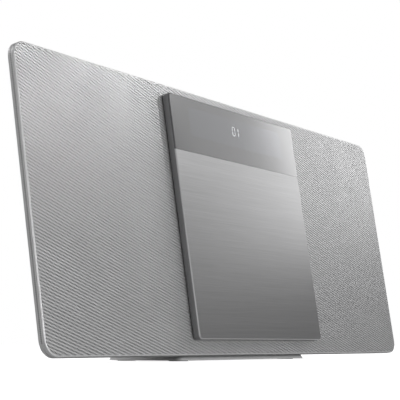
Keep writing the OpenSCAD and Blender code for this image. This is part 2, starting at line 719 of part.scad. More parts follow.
// Rubber surround at the rim and woven spider at the coil
module suspension(s) color([0.07, 0.07, 0.07]) leaned() turned([s * driver_x, speaker_z]) {
    mid = (cone_r + driver_hole - 4) / 2;
    roll = (driver_hole - 4 - cone_r) / 2;
    polygon([[cone_r, baffle_front + 2], [mid - 0.7 * roll, baffle_front + 0.9],
        [mid, baffle_front + 0.4], [mid + 0.7 * roll, baffle_front + 0.9],
        [mid + roll, baffle_front + 2], [driver_hole - 0.5, baffle_front + 2],
        [driver_hole - 0.5, baffle_back], [mid + roll - 0.4, baffle_back],
        [mid + 0.6 * roll, baffle_front + 1.6], [mid, baffle_front + 1.1],
        [mid - 0.6 * roll, baffle_front + 1.6], [cone_r, baffle_front + 2.8]]);
    polygon([[coil_r + 0.3, plate_y - 4], [16.9, plate_y - 4], [16.9, plate_y - 1.2],
        [15.9, plate_y - 1.2], [15.9, plate_y - 3.4], [coil_r + 0.3, plate_y - 3.4]]);
}
module suspension_left() suspension(-1);
module suspension_right() suspension(1);

module radiator_frames() color([0.15, 0.15, 0.16]) leaned() for (s = [-1, 1]) difference() {
    p = [s * radiator_x, speaker_z];
    ring(p, radiator_hole - 2, radiator_r, baffle_back, baffle_back + 1.4);
    for (a = [30 : 120 : 270]) rod_y(p + polar(radiator_bolt, a), 0.9, 0, baffle_back + 3);
}

// Diaphragm with a steel weight behind it
module radiator(s) color([0.12, 0.12, 0.12]) leaned() turned([s * radiator_x, speaker_z]) polygon([
    [0, baffle_front + 2], [plate_r, baffle_front + 2], [plate_r, baffle_front + 3], [9, baffle_front + 3],
    [9, baffle_front + 7], [0, baffle_front + 7]]);
module radiator_left() radiator(-1);
module radiator_right() radiator(1);

module radiator_surround(s) color([0.07, 0.07, 0.07]) leaned() turned([s * radiator_x, speaker_z]) {
    mid = (plate_r + radiator_hole - 2) / 2;
    polygon([[plate_r, baffle_front + 2], [mid, baffle_front + 0.6], [radiator_hole - 2, baffle_front + 2],
        [radiator_hole - 0.4, baffle_front + 2], [radiator_hole - 0.4, baffle_back],
        [radiator_hole - 2.4, baffle_back], [mid, baffle_front + 1.4], [plate_r, baffle_front + 3]]);
}
module radiator_surround_left() radiator_surround(-1);
module radiator_surround_right() radiator_surround(1);

// ---- Display and electronics ----

glass_y = baffle_front + 0.2;
glass_t = 2.6;
glass_w = 132;
glass_low = guide_high + slider_h + 4;
glass_high = glass_low + 24;
panel_posts = [for (s = [-1, 1], z = [glass_low + 2, glass_high - 2]) [s * (glass_w / 2 + 4), z]];

module display_module() color([0.08, 0.1, 0.12]) leaned() {
    slab(glass_y, glass_y + glass_t) rect([-glass_w / 2, glass_w / 2], [glass_low, glass_high]);
    difference() {
        slab(glass_y + glass_t, glass_y + glass_t + 1.4)
            rect([-glass_w / 2 - 7, glass_w / 2 + 7], [glass_low - 1, glass_high + 1]);
        for (p = panel_posts) rod_y(p, 1.1, glass_y, glass_y + 6);
    }
    block([cable_x[0] - 1, cable_x[1] + 1], [glass_y + glass_t + 1.4, cable_y],
        [cable_z - 2, cable_z + 2]);
}

// Flat cable from the display back over the sliders and down to the main board's connector
cable_x = [0, 20];
cable_t = 0.3;
cable_z = glass_low + 5;
cable_y = glass_y + glass_t + 3.2;
cable_turn = guide_y + slider_h + 2;
plug_y = board_y - 3;
plug_z = rear_high - 6;
plug_h = 4;

module display_cable() color([0.85, 0.84, 0.8]) leaned() side(cable_x[0], cable_x[1]) polygon([
    [cable_y, cable_z], [cable_turn, cable_z], [plug_y, plug_z + plug_h], [plug_y, plug_z],
    [plug_y - cable_t, plug_z], [plug_y - cable_t, plug_z + plug_h - 2 * cable_t],
    [cable_turn, cable_z - cable_t], [cable_y, cable_z - cable_t]]);

module board(x, z, posts) difference() {
    slab(board_y, board_y + board_t) rect(x, z);
    for (p = posts) rod_y(p, pilot_r + 0.15, board_y - step, board_y + 3);
}

module main_board() color([0.1, 0.3, 0.16]) leaned() {
    board([-4, 92], [40, rear_high], main_posts);
    block([cable_x[0] - 1, cable_x[1] + 1], [plug_y, board_y], [plug_z, plug_z + plug_h]);
    for (c = [[22, 58, 14, 14], [50, 120, 18, 12], [74, 90, 10, 8], [30, 92, 9, 9]])
        block([c[0], c[0] + c[2]], [board_y - 1.6, board_y], [c[1], c[1] + c[3]]);
}

module power_board() color([0.35, 0.26, 0.1]) leaned() {
    board([-92, -6], [40, rear_high], power_posts);
    block([-50, -18], [board_y - 13, board_y], [80, 110]);
    for (k = [0 : 2]) rod_y([-74, 84 + 13 * k], 5, board_y - 14, board_y);
    rod_y([-30, 62], 4, board_y - 10, board_y);
    block([-84, -66], [board_y - 8, board_y], [54, 66]);
}

module heat_sink() color([0.65, 0.65, 0.67]) leaned() {
    block([48, 84], [board_y - 4.6, board_y - 1.6], [120, 132]);
    for (k = [0 : 6]) block([48 + 5.7 * k, 49.8 + 5.7 * k], [board_y - 13, board_y - 4.6], [120, 132]);
}

module key_board() color([0.1, 0.3, 0.16]) leaned() {
    difference() {
        block([-key_post_x - 5, key_post_x + 5], [key_mid - 6, key_mid + 6], [board_top - 1.5, board_top]);
        for (s = [-1, 1]) translate([s * key_post_x, key_mid, board_top - 3]) cylinder(r = 1.4, h = 6);
    }
    for (i = [0 : 5]) difference() {
        block([key_x(i) - 3, key_x(i) + 3], [key_mid - 3, key_mid + 3], [board_top, switch_top]);
        translate([key_x(i), key_mid, stem_end - key_travel - 0.4])
            cylinder(r = stem_r + run_fit, h = 4);
    }
}

// ---- Keys on the top deck ----

function key_x(i) = (i - 2.5) * key_pitch;

module key(i) color([0.3, 0.3, 0.31]) leaned() {
    x = key_x(i);
    block([x - key_w / 2, x + key_w / 2], [key_y0, key_y1], [key_under, cab_high + key_proud]);
    block([x - key_w / 2 - key_flange, x + key_w / 2 + key_flange],
        [key_y0 - key_flange, key_y1 + key_flange], [key_under, key_under + key_flange_t]);
    translate([x, key_mid, stem_end]) cylinder(r = stem_r, h = key_under - stem_end + 0.1);
}
module key_power() key(0);
module key_open() key(1);
module key_source() key(2);
module key_play() key(3);
module key_volume_down() key(4);
module key_volume_up() key(5);

// ---- Sockets on the back ----

module mains_inlet() color([0.1, 0.1, 0.1]) leaned() {
    difference() {
        block([inlet_x - inlet_w / 2 - 2, inlet_x + inlet_w / 2 + 2], [board_y + board_t, cab_rear],
            [inlet_z - inlet_h / 2 - 2, inlet_z + inlet_h / 2 + 2]);
        slab(cab_rear - inlet_depth, cab_rear + step) {
            for (s = [-1, 1]) translate([inlet_x + s * (inlet_w - inlet_h) / 2, inlet_z])
                circle(inlet_h / 2);
            rect([inlet_x - (inlet_w - inlet_h) / 2, inlet_x + (inlet_w - inlet_h) / 2],
                [inlet_z - inlet_h / 2 + 0.8, inlet_z + inlet_h / 2 - 0.8]);
        }
    }
    for (s = [-1, 1]) rod_y([inlet_x + s * (inlet_w - inlet_h) / 2, inlet_z], 1.1,
        cab_rear - inlet_depth - 0.1, cab_rear - 2.5);
}

module antenna_socket() color([0.75, 0.75, 0.76]) leaned() {
    p = [ant_x, socket_z];
    rod_y(p, 7, board_y + board_t, cab_rear - wall - 0.2);
    ring(p, 3.6, 4.8, cab_rear - wall - 0.3, cab_rear + 0.8);
    rod_y(p, 0.6, cab_rear - wall - 0.3, cab_rear);
}

module usb_port() color([0.72, 0.72, 0.73]) leaned() difference() {
    block([usb_x - 7, usb_x + 7], [board_y + board_t, cab_rear], [socket_z - 3.4, socket_z + 3.4]);
    block([usb_x - 6.3, usb_x + 6.3], [cab_rear - 12, cab_rear + step], [socket_z - 2.7, socket_z + 0.4]);
    block([usb_x - 6.3, usb_x + 6.3], [cab_rear - 9, cab_rear + step], [socket_z + 0.3, socket_z + 2.7]);
}

module aux_jack() color([0.14, 0.14, 0.14]) leaned() difference() {
    union() {
        block([aux_x - 6, aux_x + 6], [board_y + board_t, cab_rear - wall - 0.2], [socket_z - 6, socket_z + 6]);
        rod_y([aux_x, socket_z], 4, cab_rear - wall - 0.3, cab_rear);
    }
    rod_y([aux_x, socket_z], aux_r, cab_rear - aux_depth, cab_rear + step);
}

// ---- Fasteners ----

module cabinet_screws() color([0.2, 0.2, 0.2]) leaned() for (p = concat(cab_bolts, cab_outer_bolts))
    screw(p, screw_r, seat_y, seat_y - baffle_front + 1);

module driver_screws() color([0.5, 0.5, 0.5]) leaned() for (s = [-1, 1]) {
    for (a = [45 : 90 : 315]) screw([s * driver_x, speaker_z] + polar(driver_bolt, a), pilot_r,
        baffle_back + basket_t, 3.8);
    for (a = [30 : 120 : 270]) screw([s * radiator_x, speaker_z] + polar(radiator_bolt, a), 0.8,
        baffle_back + 1.4, 3.4);
}

module mech_screws() color([0.55, 0.55, 0.55]) leaned() {
    for (p = bracket_posts) screw(p, pilot_r, bracket_y1, 5);
    for (p = mech_posts) screw(p, pilot_r, chassis_y + chassis_t, 7);
    for (p = well_bolts) screw(p, screw_r, baffle_back, baffle_back - well_front - 1);
    for (p = panel_posts) screw(p, 0.9, glass_y + glass_t + 1.4, 3.8);
}

module board_screws() color([0.55, 0.55, 0.55]) leaned() {
    for (p = concat(main_posts, power_posts)) mirror([0, 1, 0])
        screw(p, pilot_r, -board_y, 10);
    for (s = [-1, 1]) translate([s * key_post_x, key_mid, board_top - 1.5]) {
        cylinder(r = pilot_r, h = 6);
        mirror([0, 0, 1]) cylinder(r = 2.3, h = head_t);
    }
}

// ---- Stand ----

module base_outline(inset) {
    r = base_corner - inset;
    n = base_nose - inset;
    hw = stand_w / 2 - inset;
    hull() {
        for (s = [-1, 1]) {
            translate([s * (hw - n), base_front + base_nose]) circle(n, $fn = 32);
            translate([s * (hw - r), base_back - base_corner]) circle(r, $fn = 48);
        }
    }
}

module stand_base() color([0.5, 0.5, 0.5]) difference() {
    hull() {
        translate([0, 0, foot_t]) linear_extrude(0.2) base_outline(0);
        translate([0, 0, base_top - 0.2]) linear_extrude(0.2) base_outline(base_slope);
    }
    for (p = neck_bolts) translate([p[0], p[1], 0]) {
        cylinder(r = screw_r + 0.1, h = base_top + step);
        cylinder(r = head_r + 0.3, h = foot_t + head_t + 0.2);
    }
}

module stand_neck() color([0.2, 0.2, 0.21]) {
    rise = (rear_low - cab_low) / (cab_rear - baffle_back);
    front_pt = stand_pt(neck_front, cab_low + rise * (neck_front - baffle_back));
    heel = stand_pt(cab_rear + tongue_t, rear_low);
    difference() {
        union() {
            side(-neck_w / 2, neck_w / 2) polygon([front_pt, stand_pt(cab_rear, rear_low), heel,
                [heel[0] + 6, base_top], [front_pt[0], base_top]]);
            side(-tongue_w / 2, tongue_w / 2) polygon([stand_pt(cab_rear, rear_low), heel,
                stand_pt(cab_rear + tongue_t, tongue_top), stand_pt(cab_rear, tongue_top)]);
        }
        for (p = neck_bolts) translate([p[0], p[1], base_top - step]) cylinder(r = screw_r, h = 7);
        leaned() for (p = tongue_bolts) rod_y(p, screw_r + 0.1, cab_rear - step, cab_rear + 5);
    }
}

module stand_screws() color([0.55, 0.55, 0.55]) {
    for (p = neck_bolts) translate([p[0], p[1], foot_t + 0.2]) {
        cylinder(r = head_r, h = head_t);
        cylinder(r = screw_r, h = base_top + 4);
    }
    leaned() for (p = tongue_bolts) screw(p, screw_r, cab_rear + tongue_t, 9);
}

module rubber_feet() color([0.12, 0.12, 0.12]) for (p = feet) translate([p[0], p[1], 0])
    cylinder(r = foot_r, h = foot_t);

front_grille();
front_baffle();
rear_cabinet();
disc_well();
guide_rods();
door_plate();
display_lens();
door_frame();
door_rack();
door_sliders();
drive_bracket();
door_motor();
door_gear();
motor_pinion();
turntable_hub();
hub_balls();
spindle_motor();
mech_chassis();
mech_dampers();
sled_rods();
pickup_sled();
pickup_lens();
feed_gear();
feed_motor();
feed_pinion();
driver_baskets();
driver_magnets();
cone_left();
cone_right();
suspension_left();
suspension_right();
radiator_frames();
radiator_left();
radiator_right();
radiator_surround_left();
radiator_surround_right();
display_module();
display_cable();
main_board();
power_board();
heat_sink();
key_board();
key_power();
key_open();
key_source();
key_play();
key_volume_down();
key_volume_up();
mains_inlet();
antenna_socket();
usb_port();
aux_jack();
cabinet_screws();
driver_screws();
mech_screws();
board_screws();
stand_base();
stand_neck();
stand_screws();
rubber_feet();
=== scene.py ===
"""Finished surfaces of a flat wall-mountable stereo with a sliding disc door.

Everything is in metres. The panel frame is the speaker panel's own: X runs across it, Y from its
front face towards the back, Z up along it from its lower edge, and PANEL places it in the world.
"""
import json
import math

import bmesh
import bpy
from bpy.props import FloatProperty, FloatVectorProperty, IntProperty, PointerProperty
from mathutils import Matrix, Vector

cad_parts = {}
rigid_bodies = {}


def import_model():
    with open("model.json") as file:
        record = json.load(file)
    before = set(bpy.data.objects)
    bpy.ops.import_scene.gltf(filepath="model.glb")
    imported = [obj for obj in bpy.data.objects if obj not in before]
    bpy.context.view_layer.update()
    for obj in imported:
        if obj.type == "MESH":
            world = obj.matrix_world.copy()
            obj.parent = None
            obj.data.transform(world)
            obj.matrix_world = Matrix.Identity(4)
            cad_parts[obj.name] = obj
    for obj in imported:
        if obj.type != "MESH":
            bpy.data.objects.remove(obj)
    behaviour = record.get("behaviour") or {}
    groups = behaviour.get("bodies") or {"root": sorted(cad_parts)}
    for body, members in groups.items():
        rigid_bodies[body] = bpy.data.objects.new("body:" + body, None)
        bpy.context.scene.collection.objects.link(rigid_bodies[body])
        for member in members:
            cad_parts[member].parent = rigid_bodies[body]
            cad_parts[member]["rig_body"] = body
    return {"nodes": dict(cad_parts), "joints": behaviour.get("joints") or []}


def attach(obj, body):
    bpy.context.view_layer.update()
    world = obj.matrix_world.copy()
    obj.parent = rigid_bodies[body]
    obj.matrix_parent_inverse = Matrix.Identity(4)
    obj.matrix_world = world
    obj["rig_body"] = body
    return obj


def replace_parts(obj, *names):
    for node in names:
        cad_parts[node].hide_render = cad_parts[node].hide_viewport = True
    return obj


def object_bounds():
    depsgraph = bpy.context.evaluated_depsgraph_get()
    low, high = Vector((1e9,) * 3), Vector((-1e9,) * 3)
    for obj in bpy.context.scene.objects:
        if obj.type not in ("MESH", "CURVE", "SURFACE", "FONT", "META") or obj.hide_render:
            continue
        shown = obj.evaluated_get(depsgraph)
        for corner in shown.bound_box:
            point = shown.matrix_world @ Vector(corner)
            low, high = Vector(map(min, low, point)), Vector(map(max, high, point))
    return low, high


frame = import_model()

bl_info = {
    "name": "Flat Stereo Surfaces",
    "version": (1, 0, 0),
    "blender": (4, 5, 0),
    "location": "3D View > Sidebar > Stereo",
    "description": "Builds the perforated grille, brushed door and finishes of a flat stereo",
    "category": "Object",
}

CAD_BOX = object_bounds()
MM = 0.001
WELD = 0.001 * MM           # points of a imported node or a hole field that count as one
FINE_WELD = 0.0001 * MM     # the same for a mesh that is built here
WELL_GAP = 0.9 * MM         # from the disc well to the nearest holes of the grille
HEAD_OVER_SHANK = 1.3       # a screw's head is at least this much wider than its shank
SENSOR = 36.0               # width of the camera's sensor in millimetres
CAMERA_PLACE = (-790.3 * MM, -518.3 * MM, 12.8 * MM)
CAMERA_SHIFT = (-0.028, 0.119)


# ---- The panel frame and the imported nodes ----

def panel_matrix():
    """Placement of the leaning panel, from the disc's axle and the grille's front lower edge."""
    back = Vector(next(j["axis"] for j in frame["joints"] if j["name"] == "disc_spin"))
    across = Vector((1, 0, 0))
    up = across.cross(back)
    points = [v.co for v in frame["nodes"]["front_grille"].data.vertices]
    corner = Vector((0, min(p.dot(back) for p in points), min(p.dot(up) for p in points)))
    turn = Matrix((across, back, up)).transposed()
    return Matrix.Translation(turn @ corner) @ turn.to_4x4()


PANEL = panel_matrix()
TO_PANEL = PANEL.inverted()


def box_of(points):
    """Lowest and highest corner of these points."""
    return (Vector([min(p[i] for p in points) for i in range(3)]),
            Vector([max(p[i] for p in points) for i in range(3)]))


def panel_box(node):
    """Lowest and highest corner of a node in the panel frame."""
    return box_of([TO_PANEL @ v.co for v in frame["nodes"][node].data.vertices])


# ---- Sizes and colours that a user would change ----

def length(name, description, default):
    """A length in metres."""
    return FloatProperty(name=name, description=description, default=default, min=0.0,
                         subtype="DISTANCE", unit="LENGTH", precision=5)


def colour(name, description, default):
    """A linear colour."""
    return FloatVectorProperty(name=name, description=description, default=default, min=0.0,
                               max=1.0, size=3, subtype="COLOR")


def share(name, description, default):
    """A share from 0 to 1."""
    return FloatProperty(name=name, description=description, default=default, min=0.0, max=1.0,
                         subtype="FACTOR")


class GrilleSettings(bpy.types.PropertyGroup):
    """Sizes and colour of the perforated front."""
    pitch: length("Hole pitch", "Distance between two holes, before they are narrowed", 2.46 * MM)
    narrow: share("Narrowing", "Share of its width that each cell keeps along its row", 0.49)
    hole: length("Hole radius", "From a hole's middle to its upper corner", 0.88 * MM)
    depth: length("Hole depth", "How far the cloth lies under the sheet", 0.6 * MM)
    slant: FloatProperty(name="Row slant", description="Angle of the hole rows to the lower edge",
                         default=math.radians(-18), subtype="ANGLE", unit="ROTATION")
    corner: length("Corner radius", "Radius of the four outer corners", 11 * MM)
    fold: length("Fold radius", "Radius of the edge folded round to the side", 0.7 * MM)
    paint: colour("Paint", "Silver-grey paint of the sheet", (0.63, 0.63, 0.635))
    cloth: colour("Cloth", "Dark cloth behind the holes", (0.075, 0.075, 0.077))


class DoorSettings(bpy.types.PropertyGroup):
    """Sizes and colours of the sliding door."""
    corner: length("Corner radius", "Radius of the door's four corners", 3.5 * MM)
    chamfer: length("Chamfer", "Width of the bright edge round the front", 0.60 * MM)
    metal: colour("Metal", "Brushed aluminium of the door", (0.47, 0.47, 0.475))
    rim: colour("Cut edge", "Bright chamfer round the metal", (0.50, 0.50, 0.505))
    lens: colour("Lens", "Half-mirror over the display", (0.50, 0.50, 0.505))
    frame_plastic: colour("Frame", "Moulded frame behind the plate", (0.19, 0.19, 0.195))
    digit_height: length("Digit height", "Height of the track number", 7.0 * MM)


class BodySettings(bpy.types.PropertyGroup):
    """Colours of the moulded housing and the stand."""
    plastic: colour("Housing", "Grained plastic of the rear housing", (0.040, 0.040, 0.043))
    stand: colour("Stand", "Painted steel of the stand", (0.58, 0.58, 0.585))
    key: colour("Keys", "Moulded key caps", (0.30, 0.30, 0.31))
    edge: length("Edge radius", "Rounding of moulded edges", 0.35 * MM)


class ScrewSettings(bpy.types.PropertyGroup):
    """Shape of the screws' cross recess."""
    recess: share("Recess width", "Width of the cross over the head's width", 0.62)
    slot: share("Slot width", "Width of one slot over the head's width", 0.15)
    deep: share("Recess depth", "Depth of the cross over the head's thickness", 0.6)
    seed: IntProperty(name="Seed", description="Turns each screw by its own angle", default=4)


class StageSettings(bpy.types.PropertyGroup):
    """Camera and light."""
    lens: FloatProperty(name="Focal length", description="Camera lens on a 36 mm sensor",
                        default=106.44, subtype="DISTANCE_CAMERA", unit="CAMERA")
    heading: FloatProperty(name="Heading", description="Camera's turn from straight ahead",
                           default=math.radians(56.49), subtype="ANGLE", unit="ROTATION")
    pitch: FloatProperty(name="Pitch", description="Camera's tilt above the level",
                         default=math.radians(4.64), subtype="ANGLE", unit="ROTATION")
    floor: colour("Floor", "Pale floor", (0.93, 0.93, 0.93))


# ---- Node helpers ----

def add(tree, kind, inputs=None, **settings):
    """Adds a node; an input is a value or another node's output, named or counted."""
    node = tree.nodes.new(kind)
    for name, value in settings.items():
        setattr(node, name, value)
    for name, value in (inputs or {}).items():
        if isinstance(value, bpy.types.NodeSocket):
            tree.links.new(value, node.inputs[name])
        else:
            node.inputs[name].default_value = value
    return node


def reckon(tree, operation, *values):
    """Output of a Math node."""
    return add(tree, "ShaderNodeMath", dict(enumerate(values)), operation=operation).outputs[0]


def mixed_value(tree, factor, first, second):
    """Output of a Mix node for numbers, whose two values are its sockets 2 and 3."""
    return add(tree, "ShaderNodeMix", {0: factor, 2: first, 3: second}, data_type="FLOAT").outputs[0]


def mixed_colour(tree, factor, first, second):
    """Output of a Mix node for colours, whose two colours are its sockets 6 and 7."""
    return add(tree, "ShaderNodeMix", {0: factor, 6: first, 7: second}, data_type="RGBA").outputs[2]


def new_group(name, kind, inputs, outputs):
    """An empty node group with its interface; returns it with its two end nodes."""
    tree = bpy.data.node_groups.new(name, kind)
    for label, (socket, value) in inputs.items():
        made = tree.interface.new_socket(name=label, in_out="INPUT", socket_type=socket)
        if value is not None:
            made.default_value = value
    for label, socket in outputs.items():
        tree.interface.new_socket(name=label, in_out="OUTPUT", socket_type=socket)
    return tree, tree.nodes.new("NodeGroupInput"), tree.nodes.new("NodeGroupOutput")


# ---- Effects that several finishes share ----

def grain_group():
    """Moulded or sprayed grain: a fine height and a slow change of shade."""
    tree, start, end = new_group("Moulded grain", "ShaderNodeTree", {
        "Vector": ("NodeSocketVector", None), "Size": ("NodeSocketFloat", 0.001)},
        {"Height": "NodeSocketFloat", "Shade": "NodeSocketFloat"})
    grains_per_shade = 14.0
    fine = reckon(tree, "DIVIDE", 1.0, start.outputs["Size"])
    slow = reckon(tree, "DIVIDE", fine, grains_per_shade)
    heights = add(tree, "ShaderNodeTexNoise", {
        "Vector": start.outputs["Vector"], "Scale": fine, "Detail": 3.0, "Roughness": 0.6})
    shades = add(tree, "ShaderNodeTexNoise", {
        "Vector": start.outputs["Vector"], "Scale": slow, "Detail": 2.0})
    blend = mixed_value(tree, 0.35, shades.outputs["Fac"], heights.outputs["Fac"])
    tree.links.new(heights.outputs["Fac"], end.inputs["Height"])
    tree.links.new(blend, end.inputs["Shade"])
    return tree


def brush_group():
    """Fine straight brush lines along X, with a slow change from band to band."""
    tree, start, end = new_group("Brush lines", "ShaderNodeTree", {
        "Vector": ("NodeSocketVector", None), "Size": ("NodeSocketFloat", 0.0002)},
        {"Height": "NodeSocketFloat", "Shade": "NodeSocketFloat"})
    length_over_width = 160.0
    across = reckon(tree, "DIVIDE", 1.0, start.outputs["Size"])
    along = reckon(tree, "DIVIDE", across, length_over_width)
    scale = add(tree, "ShaderNodeCombineXYZ", {"X": along, "Y": across, "Z": across})
    streaks = add(tree, "ShaderNodeVectorMath", {
        0: start.outputs["Vector"], 1: scale.outputs[0]}, operation="MULTIPLY")
    lines = add(tree, "ShaderNodeTexNoise", {
        "Vector": streaks.outputs[0], "Scale": 1.0, "Detail": 3.0, "Roughness": 0.65})
    bands = add(tree, "ShaderNodeTexNoise", {
        "Vector": streaks.outputs[0], "Scale": 0.12, "Detail": 1.0})
    blend = mixed_value(tree, 0.8, bands.outputs["Fac"], lines.outputs["Fac"])
    tree.links.new(lines.outputs["Fac"], end.inputs["Height"])
    tree.links.new(blend, end.inputs["Shade"])
    return tree


def handling_group():
    """Soft patches where hands and cloths have changed the gloss."""
    tree, start, end = new_group("Handled patches", "ShaderNodeTree", {
        "Vector": ("NodeSocketVector", None), "Size": ("NodeSocketFloat", 0.03)},
        {"Mask": "NodeSocketFloat"})
    scale = reckon(tree, "DIVIDE", 1.0, start.outputs["Size"])
    patches = add(tree, "ShaderNodeTexNoise", {
        "Vector": start.outputs["Vector"], "Scale": scale, "Detail": 4.0, "Roughness": 0.55})
    spread = add(tree, "ShaderNodeMapRange", {
        "Value": patches.outputs["Fac"], "From Min": 0.35, "From Max": 0.68},
        interpolation_type="SMOOTHSTEP")
    tree.links.new(spread.outputs[0], end.inputs["Mask"])
    return tree


def dust_group():
    """Dust that settles where a surface looks upwards."""
    tree, start, end = new_group("Settled dust", "ShaderNodeTree", {
        "Vector": ("NodeSocketVector", None), "Amount": ("NodeSocketFloat", 0.2)},
        {"Mask": "NodeSocketFloat"})
    normal = add(tree, "ShaderNodeNewGeometry").outputs["Normal"]
    upward = add(tree, "ShaderNodeSeparateXYZ", {0: normal}).outputs["Z"]
    facing = add(tree, "ShaderNodeMapRange", {
        "Value": upward, "From Min": 0.35, "From Max": 1.0}).outputs[0]
    specks = add(tree, "ShaderNodeTexNoise", {
        "Vector": start.outputs["Vector"], "Scale": 900.0, "Detail": 3.0})
    mask = reckon(tree, "MULTIPLY", facing, specks.outputs["Fac"])
    tree.links.new(reckon(tree, "MULTIPLY", mask, start.outputs["Amount"]), end.inputs["Mask"])
    return tree


GROUPS = {}     # shared effects by name, each built once


def effect(name):
    """The shared group of that name, built the first time it is asked for."""
    makers = {"grain": grain_group, "brush": brush_group,
              "handling": handling_group, "dust": dust_group}
    if name not in GROUPS:
        GROUPS[name] = makers[name]()
    return GROUPS[name]


# ---- Finishes ----

DUST = (0.42, 0.41, 0.39)


def finish(name, tint, roughness, metallic=0.0, pattern="grain", size=1 * MM, tone=0.06,
           relief=0.02 * MM, strength=0.35, patches=0.05, dust=0.1, **constants):
    """A material whose colour, gloss and relief all change over the surface."""
    material = bpy.data.materials.new(name)
    material.use_nodes = True
    tree = material.node_tree
    shader = tree.nodes["Principled BSDF"]
    place = add(tree, "ShaderNodeTexCoord").outputs["Object"]
    level = add(tree, "ShaderNodeMapping", {
        "Vector": place, "Rotation": (-PANEL.to_euler().x, 0, 0)}, vector_type="POINT")
    drawn = add(tree, "ShaderNodeGroup", node_tree=effect(pattern))
    tree.links.new(level.outputs[0], drawn.inputs["Vector"])
    drawn.inputs["Size"].default_value = size
    dark = [c * (1 - tone) for c in tint] + [1]
    light = [min(1, c * (1 + tone)) for c in tint] + [1]
    shade = mixed_colour(tree, drawn.outputs["Shade"], dark, light)
    settled = add(tree, "ShaderNodeGroup", node_tree=effect("dust"))
    tree.links.new(place, settled.inputs["Vector"])
    settled.inputs["Amount"].default_value = dust
    dusty = mixed_colour(tree, settled.outputs["Mask"], shade, (*DUST, 1))
    tree.links.new(dusty, shader.inputs["Base Color"])
    handled = add(tree, "ShaderNodeGroup", node_tree=effect("handling"))
    tree.links.new(place, handled.inputs["Vector"])
    gloss = add(tree, "ShaderNodeMapRange", {
        "Value": handled.outputs["Mask"], "To Min": max(0.02, roughness - patches),
        "To Max": min(1.0, roughness + patches)})
    tree.links.new(gloss.outputs[0], shader.inputs["Roughness"])
    bump = add(tree, "ShaderNodeBump", {
        "Height": drawn.outputs["Height"], "Strength": strength, "Distance": relief})
    tree.links.new(bump.outputs[0], shader.inputs["Normal"])
    shader.inputs["Metallic"].default_value = metallic
    for socket, value in constants.items():
        shader.inputs[socket.replace("_", " ")].default_value = value
    return material


def lens_finish(settings):
    """Half-mirror with the display's window showing as a faint cooler field."""
    material = finish("half-mirror lens", settings.lens, 0.13, 1.0, size=6 * MM, tone=0.015,
                      strength=0.002, patches=0.005, dust=0.0)
    tree = material.node_tree
    shader = tree.nodes["Principled BSDF"]
    low, high = panel_box("display_module")
    lens_low, _ = panel_box("display_lens")
    middle = PANEL @ Vector(((low.x + high.x) / 2, lens_low.y, (low.z + high.z) / 2))
    place = add(tree, "ShaderNodeTexCoord").outputs["Object"]
    local = add(tree, "ShaderNodeMapping", {
        "Vector": place, "Location": middle, "Rotation": (PANEL.to_euler().x, 0, 0)},
        vector_type="TEXTURE")
    distance = add(tree, "ShaderNodeVectorMath", {0: local.outputs[0]}, operation="ABSOLUTE")
    apart = add(tree, "ShaderNodeSeparateXYZ", {0: distance.outputs[0]})
    sides = []
    margin_x, margin_z, blur = 5.5 * MM, 1.7 * MM, 0.3 * MM
    for axis, half in (("X", (high.x - low.x) / 2 - margin_x), ("Z", (high.z - low.z) / 2 - margin_z)):
        edge = add(tree, "ShaderNodeMapRange", {
            "Value": apart.outputs[axis], "From Min": half - blur, "From Max": half + blur,
            "To Min": 1.0, "To Max": 0.0})
        sides.append(edge.outputs[0])
    window = reckon(tree, "MULTIPLY", *sides)
    before = shader.inputs["Base Color"].links[0].from_socket
    faint, cool = 0.35, (0.54, 0.55, 0.58, 1)
    cooler = mixed_colour(tree, reckon(tree, "MULTIPLY", window, faint), before, cool)
    tree.links.new(cooler, shader.inputs["Base Color"])
    return material


# ---- Mesh helpers ----

def placed_object(name, data):
    """A new object with that data, linked to the scene."""
    obj = bpy.data.objects.new(name, data)
    bpy.context.scene.collection.objects.link(obj)
    return obj


def mesh_of(bm, name):
    """The mesh that was being built, which ends the building."""
    mesh = bpy.data.meshes.new(name)
    bm.to_mesh(mesh)
    bm.free()
    return mesh


def smoothed(mesh, sharp):
    """Shades a mesh smooth, with edges beyond that many degrees kept crisp."""
    mesh.shade_smooth()
    mesh.set_sharp_from_angle(angle=math.radians(sharp))
    return mesh


def outline(x0, x1, z0, z1, radii, steps=8):
    """Points of a rectangle with round corners, anticlockwise from the lower left corner."""
    points = []
    corners = ((x0, z0, 1, 1), (x1, z0, -1, 1), (x1, z1, -1, -1), (x0, z1, 1, -1))
    for turn, ((x, z, right, upward), radius) in enumerate(zip(corners, radii)):
        for i in range(steps + 1):
            angle = math.pi / 2 * (2 + turn + i / steps)
            points.append((x + radius * (right + math.cos(angle)),
                           z + radius * (upward + math.sin(angle))))
    return points


def loft(bm, rings):
    """Skin through rings of as many points each; a ring is its (x, z) points and its level y."""
    loops = [[bm.verts.new((x, y, z)) for x, z in points] for points, y in rings]
    for a, b in zip(loops, loops[1:]):
        for i in range(len(a)):
            j = (i + 1) % len(a)
            bm.faces.new((a[i], a[j], b[j], b[i]))
    return loops


def loop_edges(bm, loop):
    """The edges of a closed ring of points."""
    return [bm.edges.get((a, b)) for a, b in zip(loop, loop[1:] + loop[:1])]


def prism(bm, points, low, high, axis=1):
    """Closed prism over a flat outline; axis is the direction it is thick in."""
    def at(point, level):
        """A corner of the prism at one of its two levels."""
        place = list(point)
        place.insert(axis, level)
        return bm.verts.new(place)

    bottom = [at(p, low) for p in points]
    top = [at(p, high) for p in points]
    bm.faces.new(bottom)
    bm.faces.new(top[::-1])
    for i in range(len(points)):
        j = (i + 1) % len(points)
        bm.faces.new((bottom[i], bottom[j], top[j], top[i]))


def applied(obj):
    """The mesh that the object's modifiers make; the modifiers are removed."""
    evaluated = obj.evaluated_get(bpy.context.evaluated_depsgraph_get())
    mesh = bpy.data.meshes.new_from_object(evaluated)
    obj.modifiers.clear()
    return mesh


